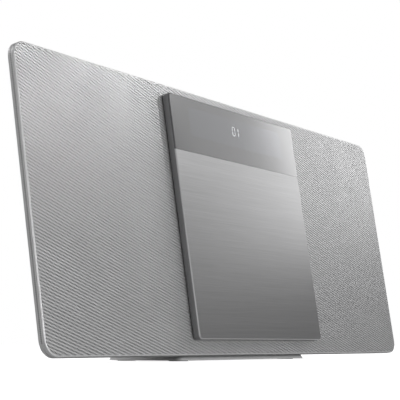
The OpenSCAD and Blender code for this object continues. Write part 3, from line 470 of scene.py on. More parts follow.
def piece(name, mesh, body, slot, *nodes):
    """Links a finished mesh and ties it to its body and the nodes it stands for; slot is not used."""
    obj = placed_object(name, mesh)
    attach(obj, body)
    if nodes:
        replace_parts(obj, *nodes)
    return obj


def built(name, bm, materials, body, slot, *nodes, place=PANEL, sharp=30, recalculate=True):
    """A piece from a mesh that was built in the panel frame."""
    bmesh.ops.remove_doubles(bm, verts=bm.verts, dist=FINE_WELD)
    if recalculate:
        bmesh.ops.recalc_face_normals(bm, faces=bm.faces)
    bm.transform(place)
    mesh = mesh_of(bm, name)
    for material in materials:
        mesh.materials.append(material)
    return piece(name, smoothed(mesh, sharp), body, slot, *nodes)


def refined(node, material, bevel, segments=2):
    """A cleaned copy of a node with rounded edges, which stands for the node."""
    source = frame["nodes"][node]
    bm = bmesh.new()
    bm.from_mesh(source.data)
    bmesh.ops.remove_doubles(bm, verts=bm.verts, dist=WELD)
    flat, bevelled, crisp = math.radians(0.4), math.radians(40), 32
    bmesh.ops.dissolve_limit(bm, angle_limit=flat, verts=bm.verts, edges=bm.edges)
    obj = placed_object(f"{node}_finished", mesh_of(bm, node))
    if bevel:
        rounding = obj.modifiers.new("rounded edges", "BEVEL")
        rounding.width = bevel
        rounding.segments = segments
        rounding.limit_method = "ANGLE"
        rounding.angle_limit = bevelled
        rounding.use_clamp_overlap = True
    obj.data = smoothed(applied(obj), crisp)
    obj.data.materials.clear()
    obj.data.materials.append(material)
    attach(obj, source["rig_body"])
    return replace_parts(obj, node)


def refine_each(*rows):
    """Refines the nodes of each row with that row's finish and edge rounding."""
    for nodes, material, bevel in rows:
        for node in nodes:
            refined(node, material, bevel)


def paint(node, material):
    """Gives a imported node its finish; its shape stays as it is."""
    frame["nodes"][node].data.materials[0] = material


# ---- Perforated sheet ----

def honeycomb_tree():
    """Node tree: staggered six-sided cells, each with a hole through the sheet."""
    tree, start, end = new_group("Perforated sheet", "GeometryNodeTree", {
        "Columns": ("NodeSocketInt", 10), "Rows": ("NodeSocketInt", 10),
        "Slant": ("NodeSocketFloat", 0.0), "Narrow": ("NodeSocketFloat", 1.0),
        "Pitch": ("NodeSocketFloat", 0.002), "Hole": ("NodeSocketFloat", 0.0007),
        "Depth": ("NodeSocketFloat", 0.0006), "Middle": ("NodeSocketVector", None),
        "Reach": ("NodeSocketVector", None), "Finish": ("NodeSocketMaterial", None)},
        {"Geometry": "NodeSocketGeometry"})
    given = start.outputs
    row = reckon(tree, "MULTIPLY", given["Pitch"], math.sqrt(3))
    grid = add(tree, "GeometryNodeMeshGrid", {
        "Size X": reckon(tree, "MULTIPLY", given["Pitch"],
                         reckon(tree, "SUBTRACT", given["Columns"], 1)),
        "Size Y": reckon(tree, "MULTIPLY", row, reckon(tree, "SUBTRACT", given["Rows"], 1)),
        "Vertices X": given["Columns"], "Vertices Y": given["Rows"]})
    half = add(tree, "ShaderNodeCombineXYZ", {
        "X": reckon(tree, "DIVIDE", given["Pitch"], 2), "Y": reckon(tree, "DIVIDE", row, 2)})
    moved = add(tree, "GeometryNodeTransform", {
        "Geometry": grid.outputs["Mesh"], "Translation": half.outputs[0]})
    places = add(tree, "GeometryNodeJoinGeometry")
    tree.links.new(grid.outputs["Mesh"], places.inputs[0])
    tree.links.new(moved.outputs[0], places.inputs[0])
    slant = add(tree, "ShaderNodeCombineXYZ", {"Z": given["Slant"]})
    narrow = add(tree, "ShaderNodeCombineXYZ", {"X": given["Narrow"], "Y": 1.0, "Z": 1.0})
    slanted = add(tree, "GeometryNodeTransform", {
        "Geometry": places.outputs[0], "Rotation": slant.outputs[0],
        "Scale": narrow.outputs[0]})
    offset = add(tree, "ShaderNodeVectorMath", {
        0: add(tree, "GeometryNodeInputPosition").outputs[0], 1: given["Middle"]},
        operation="SUBTRACT")
    apart = add(tree, "ShaderNodeVectorMath", {0: offset.outputs[0]}, operation="ABSOLUTE")
    beyond = add(tree, "ShaderNodeSeparateXYZ", {0: add(
        tree, "ShaderNodeVectorMath", {0: apart.outputs[0], 1: given["Reach"]},
        operation="SUBTRACT").outputs[0]})
    outside = reckon(tree, "GREATER_THAN", reckon(
        tree, "MAXIMUM", beyond.outputs["X"], beyond.outputs["Y"]), given["Pitch"])
    kept = add(tree, "GeometryNodeDeleteGeometry", {
        "Geometry": slanted.outputs[0], "Selection": outside}, domain="POINT")
    rim = reckon(tree, "DIVIDE", given["Pitch"], math.sqrt(3))
    plate = add(tree, "GeometryNodeMeshCircle", {"Vertices": 6, "Radius": rim},
                fill_type="NGON")
    upright = add(tree, "GeometryNodeTransform", {
        "Geometry": plate.outputs[0], "Rotation": (0, 0, math.radians(30))})
    border = add(tree, "GeometryNodeExtrudeMesh", {
        "Mesh": upright.outputs[0], "Offset Scale": 0.0}, mode="FACES")
    inner = add(tree, "GeometryNodeScaleElements", {
        "Geometry": border.outputs["Mesh"], "Selection": border.outputs["Top"],
        "Scale": reckon(tree, "DIVIDE", given["Hole"], rim)}, domain="FACE")
    wall = add(tree, "GeometryNodeExtrudeMesh", {
        "Mesh": inner.outputs[0], "Selection": border.outputs["Top"],
        "Offset Scale": reckon(tree, "MULTIPLY", given["Depth"], -1)}, mode="FACES")
    cell = add(tree, "GeometryNodeDeleteGeometry", {
        "Geometry": wall.outputs["Mesh"], "Selection": wall.outputs["Top"]}, domain="FACE")
    spread = add(tree, "GeometryNodeInstanceOnPoints", {
        "Points": kept.outputs[0], "Instance": cell.outputs[0],
        "Rotation": slant.outputs[0], "Scale": narrow.outputs[0]})
    real = add(tree, "GeometryNodeRealizeInstances", {"Geometry": spread.outputs[0]})
    dressed = add(tree, "GeometryNodeSetMaterial", {
        "Geometry": real.outputs[0], "Material": given["Finish"]})
    tree.links.new(dressed.outputs[0], end.inputs[0])
    return tree


def from_tree(name, tree, values, base=None):
    """The mesh that a node tree makes with these named inputs."""
    obj = placed_object(name, base or bpy.data.meshes.new(name))
    modifier = obj.modifiers.new(name, "NODES")
    modifier.node_group = tree
    for item in tree.interface.items_tree:
        if item.in_out == "INPUT" and item.name in values:
            modifier[item.identifier] = values[item.name]
    mesh = applied(obj)
    bpy.data.objects.remove(obj)
    return mesh


def perforated(tree, grille, size, middle, reach, material, slant=0.0):
    """A field of holes over middle +- reach, cut from one sheet of that size."""
    row = grille.pitch * math.sqrt(3)
    wide = size[0] * math.cos(slant) + size[1] * abs(math.sin(slant))
    tall = size[1] * math.cos(slant) + size[0] * abs(math.sin(slant))
    mesh = from_tree("perforation", tree, {
        "Columns": 2 * math.ceil(wide / grille.pitch / grille.narrow / 2) + 3,
        "Rows": 2 * math.ceil(tall / row / 2) + 3, "Slant": slant, "Narrow": grille.narrow,
        "Pitch": grille.pitch, "Hole": grille.hole, "Depth": grille.depth,
        "Middle": (*middle, 0.0), "Reach": (*reach, 0.0), "Finish": material})
    bm = bmesh.new()
    bm.from_mesh(mesh)
    bmesh.ops.remove_doubles(bm, verts=bm.verts, dist=WELD)
    for axis in (0, 1):
        for side in (-1, 1):
            point = [*middle, 0.0]
            point[axis] += side * reach[axis]
            normal = [0.0, 0.0, 0.0]
            normal[axis] = side
            cut(bm, point, normal)
    return bm


def cut(bm, point, normal):
    """Removes what lies beyond a plane."""
    everything = bm.verts[:] + bm.edges[:] + bm.faces[:]
    bmesh.ops.bisect_plane(bm, geom=everything, dist=FINE_WELD, plane_co=point, plane_no=normal,
                           clear_outer=True)


def along_edge(low, high, radius, run):
    """Place and outward direction on the grille's outer edge after that run from its lower left."""
    width, height = high.x - low.x - 2 * radius, high.z - low.z - 2 * radius
    arc = math.pi / 2 * radius
    corners = ((high.x - radius, low.z + radius), (high.x - radius, high.z - radius),
               (low.x + radius, high.z - radius), (low.x + radius, low.z + radius))
    for side, (cx, cz) in enumerate(corners):
        straight = width if side % 2 == 0 else height
        heading = math.pi / 2 * side
        ahead = Vector((math.cos(heading), 0, math.sin(heading)))
        outward = Vector((math.sin(heading), 0, -math.cos(heading)))
        if run <= straight:
            return Vector((cx, 0, cz)) + outward * radius + ahead * (run - straight), outward
        run -= straight
        if run <= arc or side == 3:
            turned = math.cos(run / radius) * outward + math.sin(run / radius) * ahead
            return Vector((cx, 0, cz)) + turned * radius, turned
        run -= arc


def grille_shell(grille, materials, rim=0.35 * MM, border=0.3 * MM, slack=0.3 * MM):
    """The folded sheet: side, round fold, flat border and the sunk floor behind the holes."""
    low, high = panel_box("front_grille")
    well_low, well_high = panel_box("disc_well")
    sheet = 2 * grille.depth
    fold = grille.fold

    def ring(inset, level):
        """Outer outline, moved inwards, at a depth."""
        corner = grille.corner - inset
        return outline(low.x + inset, high.x - inset, low.z + inset, high.z - inset,
                       [corner] * 4), level

    def opening(grown, level):
        """Outline round the disc well, grown outwards, at a depth."""
        grown += slack
        return outline(well_low.x - grown, well_high.x + grown, well_low.z - grown,
                       well_high.z + grown, [1 * MM + grown] * 4), level

    bm = bmesh.new()
    quarter = [math.pi / 2 * i / 5 for i in range(6)]
    side_front = fold + rim
    outer = loft(bm, [
        ring(sheet, sheet), ring(sheet, high.y), ring(0, high.y), ring(0, high.y - rim),
        ring(grille.depth, high.y - rim), ring(grille.depth, side_front), ring(0, side_front),
        *[ring(fold * (1 - math.cos(a)), fold * (1 - math.sin(a))) for a in quarter],
        ring(fold + border, 0), ring(fold + border, grille.depth)])
    inner = loft(bm, [
        opening(2 * border, grille.depth), opening(2 * border, 0), opening(0, 0),
        opening(0, sheet)])
    for a, b in ((outer[-1], inner[0]), (outer[0], inner[-1])):
        bmesh.ops.triangle_fill(bm, use_beauty=True, edges=loop_edges(bm, a) + loop_edges(bm, b))
    for face in bm.faces:
        middle = face.calc_center_median()
        sunk_front = abs(middle.y - grille.depth) < 1e-6
        sunk_side = side_front < middle.y < high.y - rim and min(
            middle.x - low.x, high.x - middle.x, middle.z - low.z, high.z - middle.z) < sheet * 0.9
        if sunk_front or sunk_side:
            face.material_index = 1
    built("grille_shell", bm, materials, "cabinet", "grille", "front_grille")
    return fold + border, side_front, high.y - rim


def make_grille(grille):
    """The perforated front with its folded side."""
    paint_finish = finish("silver grille paint", grille.paint, 0.40, 0.55, size=0.5 * MM,
                          tone=0.05, strength=0.08, patches=0.02, dust=0.05)
    cloth = finish("grille cloth", grille.cloth, 0.95, size=0.4 * MM, tone=0.2, dust=0.0,
                   relief=0.05 * MM)
    materials = [paint_finish, cloth]
    inset, side_front, side_back = grille_shell(grille, materials)
    tree = honeycomb_tree()
    low, high = panel_box("front_grille")
    well_low, well_high = panel_box("disc_well")
    size = (high.x - low.x, high.z - low.z)
    edge = well_high.x + WELL_GAP
    top, bottom = well_high.z + WELL_GAP, well_low.z - WELL_GAP
    lift = size[1] / 2
    upright = PANEL @ Matrix.Translation((0, 0, lift)) @ Matrix.Rotation(math.pi / 2, 4, "X")
    halfway = (edge + high.x) / 2
    fields = {
        "far_left": (low.x + inset, -halfway, inset, size[1] - inset),
        "left": (-halfway, -edge, inset, size[1] - inset),
        "right": (edge, halfway, inset, size[1] - inset),
        "far_right": (halfway, high.x - inset, inset, size[1] - inset),
        "top": (-edge, edge, top, size[1] - inset),
        "bottom": (-edge, edge, inset, bottom)}
    for name, (x0, x1, z0, z1) in fields.items():
        middle = ((x0 + x1) / 2, (z0 + z1) / 2 - lift)
        reach = ((x1 - x0) / 2, (z1 - z0) / 2)
        bm = perforated(tree, grille, size, middle, reach, paint_finish, grille.slant)
        side = {"far_left": -1, "far_right": 1}.get(name, 0)
        if side:
            round_corners(bm, side, size, grille.corner, inset)
        built(f"grille_field_{name}", bm, [paint_finish], "cabinet", "grille", place=upright,
              recalculate=False)
    run = 2 * (size[0] + size[1]) - (8 - 2 * math.pi) * grille.corner
    band = ((side_back - side_front) / 2, (side_back + side_front) / 2)
    bm = perforated(tree, grille, (run, 2 * side_back), (0, 0), (run / 2, band[0]), paint_finish)
    for vert in bm.verts:
        place, outward = along_edge(low, high, grille.corner, vert.co.x + run / 2)
        vert.co = place + outward * vert.co.z + Vector((0, band[1] + vert.co.y, 0))
    built("grille_field_side", bm, [paint_finish], "cabinet", "grille", recalculate=False)


def round_corners(bm, side, size, corner, inset, steps=6):
    """Trims a field's two outer corners along the grille's round ones."""
    radius = corner - inset
    for upward in (-1, 1):
        middle = Vector((side * (size[0] / 2 - corner), upward * (size[1] / 2 - corner), 0))
        for i in range(steps):
            angle = math.pi / 2 * (i + 0.5) / steps
            normal = Vector((side * math.cos(angle), upward * math.sin(angle), 0))
            cut(bm, middle + normal * radius, normal)


# ---- Door ----

def plate(bm, node, radii, chamfer, seam):
    """A plate with chamfered outer edges; seam is the side that meets the next plate."""
    low, high = panel_box(node)
    ease = 0.08 * MM

    def ring(inset, level):
        """Outline moved inwards on all sides but the seam, at a depth."""
        above = min(inset, ease) if seam == "top" else inset
        below = min(inset, ease) if seam == "bottom" else inset
        return outline(low.x + inset, high.x - inset, low.z + below, high.z - above,
                       [max(r - inset, 0) for r in radii], 10), level

    loops = loft(bm, [ring(chamfer, low.y), ring(0, low.y + chamfer), ring(0, high.y)])
    for face in bm.faces:
        face.material_index = 1
    bm.faces.new(loops[0][::-1])
    bm.faces.new(loops[-1])


def digit(bm, lit, x, z, height, level, proud):
    """One seven-segment figure; lit names its segments, from a at the top round to g."""
    wide, thick = height * 0.5, height * 0.13
    gap, half = thick * 0.12, height / 2
    # Where the middle line of each segment starts, and whether it lies level
    spans = {"a": (0, height, True), "g": (0, half, True), "d": (0, 0, True),
             "f": (0, half, False), "e": (0, 0, False), "b": (wide, half, False),
             "c": (wide, 0, False)}
    for name in lit:
        sx, sz, level_bar = spans[name]
        long = wide if level_bar else half
        shape = [(gap, 0), (gap + thick / 2, -thick / 2), (long - gap - thick / 2, -thick / 2),
                 (long - gap, 0), (long - gap - thick / 2, thick / 2), (gap + thick / 2, thick / 2)]
        placed = [(x + sx + (u if level_bar else -v), z + sz + (v if level_bar else u))
                  for u, v in shape]
        prism(bm, placed, level - proud, level)


def make_door(door):
    """Brushed plate, half-mirror lens, their frame, rack and sliders."""
    metal = finish("brushed aluminium", door.metal, 0.30, 1.0, "brush", size=0.28 * MM, tone=0.32,
                   relief=0.006 * MM, strength=0.6, patches=0.0, dust=0.0)
    bm = bmesh.new()
    plate(bm, "door_plate", (door.corner, door.corner, 0, 0), door.chamfer, "top")
    rim = finish("cut door edge", door.rim, 0.38, 0.3, size=0.3 * MM, tone=0.04,
                 relief=0.004 * MM, dust=0.0)
    built("door_plate_brushed", bm, [metal, rim], "door", "door_metal", "door_plate")
    bm = bmesh.new()
    plate(bm, "display_lens", (0, 0, door.corner, door.corner), door.chamfer, "bottom")
    edge = finish("smoked lens edge", (0.10, 0.10, 0.104), 0.30, tone=0.05, dust=0.0)
    built("display_lens_mirror", bm, [lens_finish(door), edge], "door", "lens", "display_lens")
    low, high = panel_box("display_lens")
    ink = finish("white display ink", (0.80, 0.82, 0.84), 0.35, tone=0.03, dust=0.0)
    bm = bmesh.new()
    foot = low.z + 0.52 * (high.z - low.z)
    proud, left, spacing = 0.04 * MM, -1.9 * MM, 0.72
    for place, lit in ((-1.0, "abcdef"), (0.0, "bc")):
        digit(bm, lit, left + place * door.digit_height * spacing, foot, door.digit_height,
              low.y, proud)
    built("display_track_number", bm, [ink], "door", "lens", sharp=20)
    frame_finish = finish("door frame plastic", door.frame_plastic, 0.42, size=0.4 * MM,
                          tone=0.05, strength=0.2, dust=0.05)
    refined("door_frame", frame_finish, 0.2 * MM)
    nylon = finish("natural nylon", (0.70, 0.68, 0.62), 0.45, size=0.6 * MM, tone=0.04, dust=0.03)
    refine_each((("door_rack", "door_sliders"), nylon, 0.1 * MM))
    return nylon


# ---- Screws ----

def screw_tree():
    """Node tree: a headed screw with a cross recess on every point of the base mesh."""
    tree, start, end = new_group("Cross-head screws", "GeometryNodeTree", {
        "Geometry": ("NodeSocketGeometry", None), "Recess": ("NodeSocketFloat", 0.6),
        "Slot": ("NodeSocketFloat", 0.15), "Deep": ("NodeSocketFloat", 0.6),
        "Seed": ("NodeSocketInt", 4), "Finish": ("NodeSocketMaterial", None)},
        {"Geometry": "NodeSocketGeometry"})
    given = start.outputs
    head = add(tree, "GeometryNodeMeshCone", {
        "Vertices": 28, "Radius Top": 0.86, "Radius Bottom": 1.0, "Depth": 1.0})
    wide = reckon(tree, "MULTIPLY", given["Recess"], 2)
    narrow = reckon(tree, "MULTIPLY", given["Slot"], 2)
    tall = reckon(tree, "MULTIPLY", given["Deep"], 2)
    bars = []
    for x, y in ((wide, narrow), (narrow, wide)):
        size = add(tree, "ShaderNodeCombineXYZ", {"X": x, "Y": y, "Z": tall})
        bar = add(tree, "GeometryNodeMeshCube", {"Size": size.outputs[0]})
        bars.append(add(tree, "GeometryNodeTransform", {
            "Geometry": bar.outputs["Mesh"], "Translation": (0, 0, 1)}).outputs[0])
    recessed = add(tree, "GeometryNodeMeshBoolean", {"Mesh 1": head.outputs["Mesh"]},
                   operation="DIFFERENCE")
    for bar in bars:
        tree.links.new(bar, recessed.inputs["Mesh 2"])
    shank = add(tree, "GeometryNodeMeshCylinder", {"Vertices": 20, "Radius": 1.0, "Depth": 1.0})
    hanging = add(tree, "GeometryNodeTransform", {
        "Geometry": shank.outputs["Mesh"], "Translation": (0, 0, -0.5)})
    facing = add(tree, "GeometryNodeInputNamedAttribute", {"Name": "facing"},
                 data_type="FLOAT_VECTOR")
    aligned = add(tree, "FunctionNodeAlignRotationToVector", {
        "Vector": facing.outputs[0]}, axis="Z")
    turn = add(tree, "FunctionNodeRandomValue", {2: 0.0, 3: math.pi, "Seed": given["Seed"]},
               data_type="FLOAT")
    spin = add(tree, "FunctionNodeAxisAngleToRotation", {
        "Axis": (0, 0, 1), "Angle": turn.outputs[1]})
    turned = add(tree, "FunctionNodeRotateRotation", {
        "Rotation": aligned.outputs[0], "Rotate By": spin.outputs[0]}, rotation_space="LOCAL")
    parts = add(tree, "GeometryNodeJoinGeometry")
    for shape, girth in ((recessed.outputs["Mesh"], "head"), (hanging.outputs[0], "shank")):
        scale = add(tree, "GeometryNodeInputNamedAttribute", {"Name": girth},
                    data_type="FLOAT_VECTOR")
        placed = add(tree, "GeometryNodeInstanceOnPoints", {
            "Points": given["Geometry"], "Instance": shape, "Rotation": turned.outputs[0],
            "Scale": scale.outputs[0]})
        tree.links.new(placed.outputs[0], parts.inputs[0])
    real = add(tree, "GeometryNodeRealizeInstances", {"Geometry": parts.outputs[0]})
    dressed = add(tree, "GeometryNodeSetMaterial", {
        "Geometry": real.outputs[0], "Material": given["Finish"]})
    tree.links.new(dressed.outputs[0], end.inputs["Geometry"])
    return tree


def islands(node):
    """The points of each separate solid in a node, in the order of its mesh."""
    bm = bmesh.new()
    bm.from_mesh(frame["nodes"][node].data)
    bmesh.ops.remove_doubles(bm, verts=bm.verts, dist=WELD)
    seen = set()
    found = []
    for first in bm.verts:
        if first in seen:
            continue
        seen.add(first)
        reached = [first]
        for vert in reached:
            for edge in vert.link_edges:
                other = edge.other_vert(vert)
                if other not in seen:
                    seen.add(other)
                    reached.append(other)
        found.append([v.co.copy() for v in reached])
    bm.free()
    return found


def screw_place(points):
    """Seat, facing, head radius and thickness, shank radius and reach of one screw."""
    turn = PANEL.to_3x3()
    back, above = turn @ Vector((0, 1, 0)), turn @ Vector((0, 0, 1))
    low, high = box_of(points)
    middle = (low + high) / 2
    level = 0.01 * MM
    best = None
    for axis in (back, -back, Vector((0, 0, 1)), Vector((0, 0, -1)), above):
        heights = [p.dot(axis) for p in points]
        top, bottom = max(heights), min(heights)
        middle_line = middle - axis * middle.dot(axis)
        radial = [(p - axis * h - middle_line).length for p, h in zip(points, heights)]
        head = [r for r, h in zip(radial, heights) if top - h < level]
        tail = [r for r, h in zip(radial, heights) if h - bottom < level]
        uneven = max(head) - sorted(head)[len(head) // 2]
        if max(head) > HEAD_OVER_SHANK * max(tail) and (best is None or uneven < best[0]):
            broad = [h for r, h in zip(radial, heights) if r > max(tail) * HEAD_OVER_SHANK]
            best = (uneven, middle_line + axis * min(broad), axis, max(head),
                    top - min(broad), max(tail), min(broad) - bottom)
    return best[1:]


def make_screws(settings):
    """Every screw of the construction, with its cross recess."""
    steel = finish("zinc-plated screw", (0.52, 0.52, 0.50), 0.34, 1.0, size=0.3 * MM, tone=0.1)
    black = finish("black screw", (0.05, 0.05, 0.052), 0.38, 0.6, size=0.3 * MM, tone=0.1)
    tree = screw_tree()
    for node in ("cabinet_screws", "driver_screws", "mech_screws", "board_screws", "stand_screws"):
        found = [screw_place(points) for points in islands(node)]
        base = bpy.data.meshes.new(node)
        base.from_pydata([seat for seat, *_ in found], [], [])
        columns = {
            "facing": [facing for _, facing, *_ in found],
            "head": [(r, r, t) for _, _, r, t, _, _ in found],
            "shank": [(r, r, t) for *_, r, t in found]}
        for name, vectors in columns.items():
            attribute = base.attributes.new(name, "FLOAT_VECTOR", "POINT")
            attribute.data.foreach_set("vector", [x for v in vectors for x in v])
        mesh = from_tree(node, tree, {
            "Recess": settings.recess, "Slot": settings.slot, "Deep": settings.deep,
            "Seed": settings.seed, "Finish": black if node == "cabinet_screws" else steel}, base)
        piece(f"{node}_cross_head", smoothed(mesh, 25), "cabinet", "screw", node)


# ---- Keys ----

def icon_shapes():
    """Flat outlines of the keys' generic signs, 1 unit wide, with Y towards the back."""
    def bar(x0, x1, y0, y1):
        """A rectangle."""
        return [(x0, y0), (x1, y0), (x1, y1), (x0, y1)]

    def arc(radius, thick, start, stop, steps=18):
        """A part of a ring, from one angle in degrees to another."""
        angles = [math.radians(start + (stop - start) * i / steps) for i in range(steps + 1)]
        outer = [(radius * math.cos(a), radius * math.sin(a)) for a in angles]
        inner = [((radius - thick) * math.cos(a), (radius - thick) * math.sin(a)) for a in angles]
        return outer + inner[::-1]

    play = [(-0.45, -0.34), (0.12, 0), (-0.45, 0.34)]
    return {
        "key_power": [arc(0.42, 0.11, 125, 415), bar(-0.055, 0.055, 0.08, 0.5)],
        "key_open": [[(-0.42, -0.08), (0.42, -0.08), (0, 0.42)], bar(-0.42, 0.42, -0.36, -0.22)],
        "key_source": [bar(-0.42, 0.42, y - 0.055, y + 0.055) for y in (-0.28, 0, 0.28)],
        "key_play": [play, bar(0.2, 0.31, -0.34, 0.34), bar(0.4, 0.51, -0.34, 0.34)],
        "key_volume_down": [bar(-0.42, 0.42, -0.065, 0.065)],
        "key_volume_up": [bar(-0.42, 0.42, -0.065, 0.065), bar(-0.065, 0.065, 0.08, 0.42),
                          bar(-0.065, 0.065, -0.42, -0.08)]}


def make_keys(body):
    """Six key caps along the top, each with its sign."""
    rounding, sign_width, proud = 0.45 * MM, 4.4 * MM, 0.05 * MM
    cap = finish("key cap plastic", body.key, 0.40, size=0.5 * MM, tone=0.05, dust=0.25)
    ink = finish("white key print", (0.78, 0.78, 0.78), 0.5, tone=0.03, dust=0.05)
    for node, shapes in icon_shapes().items():
        refined(node, cap, rounding, 3)
        low, high = panel_box(node)
        middle = Vector(((low.x + high.x) / 2, (low.y + high.y) / 2))
        bm = bmesh.new()
        for shape in shapes:
            points = [(middle.x + sign_width * x, middle.y + sign_width * y) for x, y in shape]
            prism(bm, points, high.z - proud, high.z + proud, axis=2)
        built(f"{node}_sign", bm, [ink], frame["nodes"][node]["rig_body"], "key", sharp=20)


# ---- Housing, mechanism and electronics ----

def make_housing(body):
    """Rear housing and front baffle."""
    plastic = finish("grained housing plastic", body.plastic, 0.50, size=0.7 * MM, tone=0.12,
                     relief=0.12 * MM, strength=0.5, patches=0.07, dust=0.22)
    refined("rear_cabinet", plastic, body.edge)
    baffle = finish("baffle plastic", (0.055, 0.055, 0.058), 0.58, size=0.5 * MM, tone=0.08)
    refined("front_baffle", baffle, 0.2 * MM)
    return plastic


def make_well():
    """The disc's well with the guide rods."""
    satin = finish("satin well plastic", (0.30, 0.30, 0.31), 0.42, size=0.5 * MM, tone=0.05,
                   relief=0.015 * MM, dust=0.08)
    refined("disc_well", satin, 0.3 * MM)
    steel = finish("ground steel rod", (0.60, 0.60, 0.61), 0.20, 1.0, "brush", size=0.2 * MM,
                   relief=0.003 * MM, dust=0.0)
    refined("guide_rods", steel, 0.2 * MM)
    return steel


def make_drives(nylon, steel):
    """Door drive and disc drive."""
    zinc = finish("zinc-plated bracket", (0.50, 0.50, 0.485), 0.36, 1.0, size=2.5 * MM, tone=0.12,
                  relief=0.004 * MM)
    motor = finish("motor can steel", (0.46, 0.46, 0.47), 0.28, 1.0, "brush", size=0.3 * MM,
                   relief=0.004 * MM)
    hub = finish("turntable hub plastic", (0.06, 0.06, 0.062), 0.34, size=0.4 * MM, tone=0.06)
    sled = finish("pickup sled plastic", (0.035, 0.035, 0.037), 0.48, size=0.5 * MM)
    balls = finish("polished ball", (0.66, 0.66, 0.67), 0.09, 1.0, size=0.8 * MM, tone=0.03,
                   strength=0.02, patches=0.03, dust=0.0)
    optics = finish("coated optics", (0.05, 0.07, 0.13), 0.05, size=1 * MM, tone=0.1,
                    strength=0.02, patches=0.02, dust=0.0, Coat_Weight=1.0)
    damper = finish("damper rubber", (0.022, 0.022, 0.022), 0.72, size=0.5 * MM)
    refine_each(
        (("drive_bracket", "mech_chassis"), zinc, 0.15 * MM),
        (("door_motor", "spindle_motor", "feed_motor"), motor, 0.3 * MM),
        (("door_gear", "motor_pinion", "feed_gear", "feed_pinion"), nylon, 0.06 * MM),
        (("turntable_hub",), hub, 0.2 * MM), (("pickup_sled",), sled, 0.2 * MM),
        (("sled_rods",), steel, 0.15 * MM), (("pickup_lens",), optics, 0.0),
        (("mech_dampers",), damper, 0.2 * MM))
    paint("hub_balls", balls)


def make_speakers():
    """Drivers and passive radiators."""
    basket = finish("painted basket steel", (0.028, 0.028, 0.03), 0.46, 0.3, size=0.5 * MM)
    magnet = finish("ferrite magnet", (0.05, 0.048, 0.046), 0.62, size=0.8 * MM, tone=0.15)
    cone = finish("pressed paper cone", (0.04, 0.038, 0.035), 0.85, size=1.6 * MM, tone=0.25,
                  relief=0.08 * MM)
    rubber = finish("surround rubber", (0.02, 0.02, 0.021), 0.62, size=0.4 * MM)
    refine_each(
        (("driver_baskets", "radiator_frames"), basket, 0.0),
        (("driver_magnets",), magnet, 0.0),
        (("cone_left", "cone_right", "radiator_left", "radiator_right"), cone, 0.0),
        (("suspension_left", "suspension_right", "radiator_surround_left",
          "radiator_surround_right"), rubber, 0.0))


def make_electronics():
    """Display, cable, boards and heat sink."""
    display = finish("display glass", (0.02, 0.028, 0.035), 0.10, size=3 * MM, tone=0.05,
                     strength=0.02, patches=0.03, dust=0.02, Coat_Weight=0.6)
    green = finish("green circuit board", (0.025, 0.13, 0.05), 0.36, size=1.2 * MM, tone=0.25,
                   relief=0.03 * MM)
    amber = finish("amber circuit board", (0.36, 0.22, 0.085), 0.55, size=1.5 * MM, tone=0.18)
    sink = finish("extruded heat sink", (0.52, 0.52, 0.53), 0.34, 1.0, "brush", size=0.3 * MM,
                  relief=0.005 * MM)
    cable = finish("flat cable film", (0.62, 0.62, 0.60), 0.40, size=0.6 * MM, tone=0.06)
    refine_each(
        (("display_module",), display, 0.15 * MM), (("heat_sink",), sink, 0.15 * MM),
        (("display_cable",), cable, 0.0), (("main_board", "key_board"), green, 0.08 * MM),
        (("power_board",), amber, 0.08 * MM))


def make_sockets():
    """Mains inlet, antenna, data and audio sockets on the back."""
    black = finish("socket plastic", (0.018, 0.018, 0.019), 0.40, size=0.4 * MM)
    metal = finish("nickel-plated socket", (0.60, 0.58, 0.54), 0.24, 1.0, size=0.5 * MM,
                   tone=0.06, dust=0.05)
    refine_each((("mains_inlet", "aux_jack"), black, 0.2 * MM),
                (("antenna_socket", "usb_port"), metal, 0.12 * MM))


def make_stand(body, plastic):
    """Base plate, neck and feet."""
    steel = finish("painted stand steel", body.stand, 0.62, 0.0, size=0.35 * MM, tone=0.04,
                   relief=0.02 * MM, dust=0.08)
    rubber = finish("foot rubber", (0.018, 0.018, 0.018), 0.75, size=0.5 * MM)
    refined("stand_base", steel, 0.5 * MM, 3)
    refined("stand_neck", plastic, 0.6 * MM, 3)
    refined("rubber_feet", rubber, 0.08 * MM)


# ---- Stage ----

def aim(lamp, place, heading):
    """Places a lamp, turns it to its heading and hides it from the camera."""
    lamp.location = place
    lamp.rotation_euler = heading.to_track_quat("-Z", "Y").to_euler()
    lamp.visible_camera = False


def area_light(name, place, target, width, height, power):
    """A soft rectangular light that the camera doesn't see."""
    data = bpy.data.lights.new(name, "AREA")
    data.shape = "RECTANGLE"
    data.size, data.size_y = width, height
    data.energy = power
    aim(placed_object(name, data), place, Vector(target) - Vector(place))


def key_light(place, heading, cone, softness, power):
    """Upper right key lamp whose soft lower edge fades out down the front."""
    data = bpy.data.lights.new("key lamp", "SPOT")
    data.energy = power
    data.spot_size, data.spot_blend = cone, 1.0
    data.shadow_soft_size = softness
    aim(placed_object("key lamp", data), place, Vector(heading))


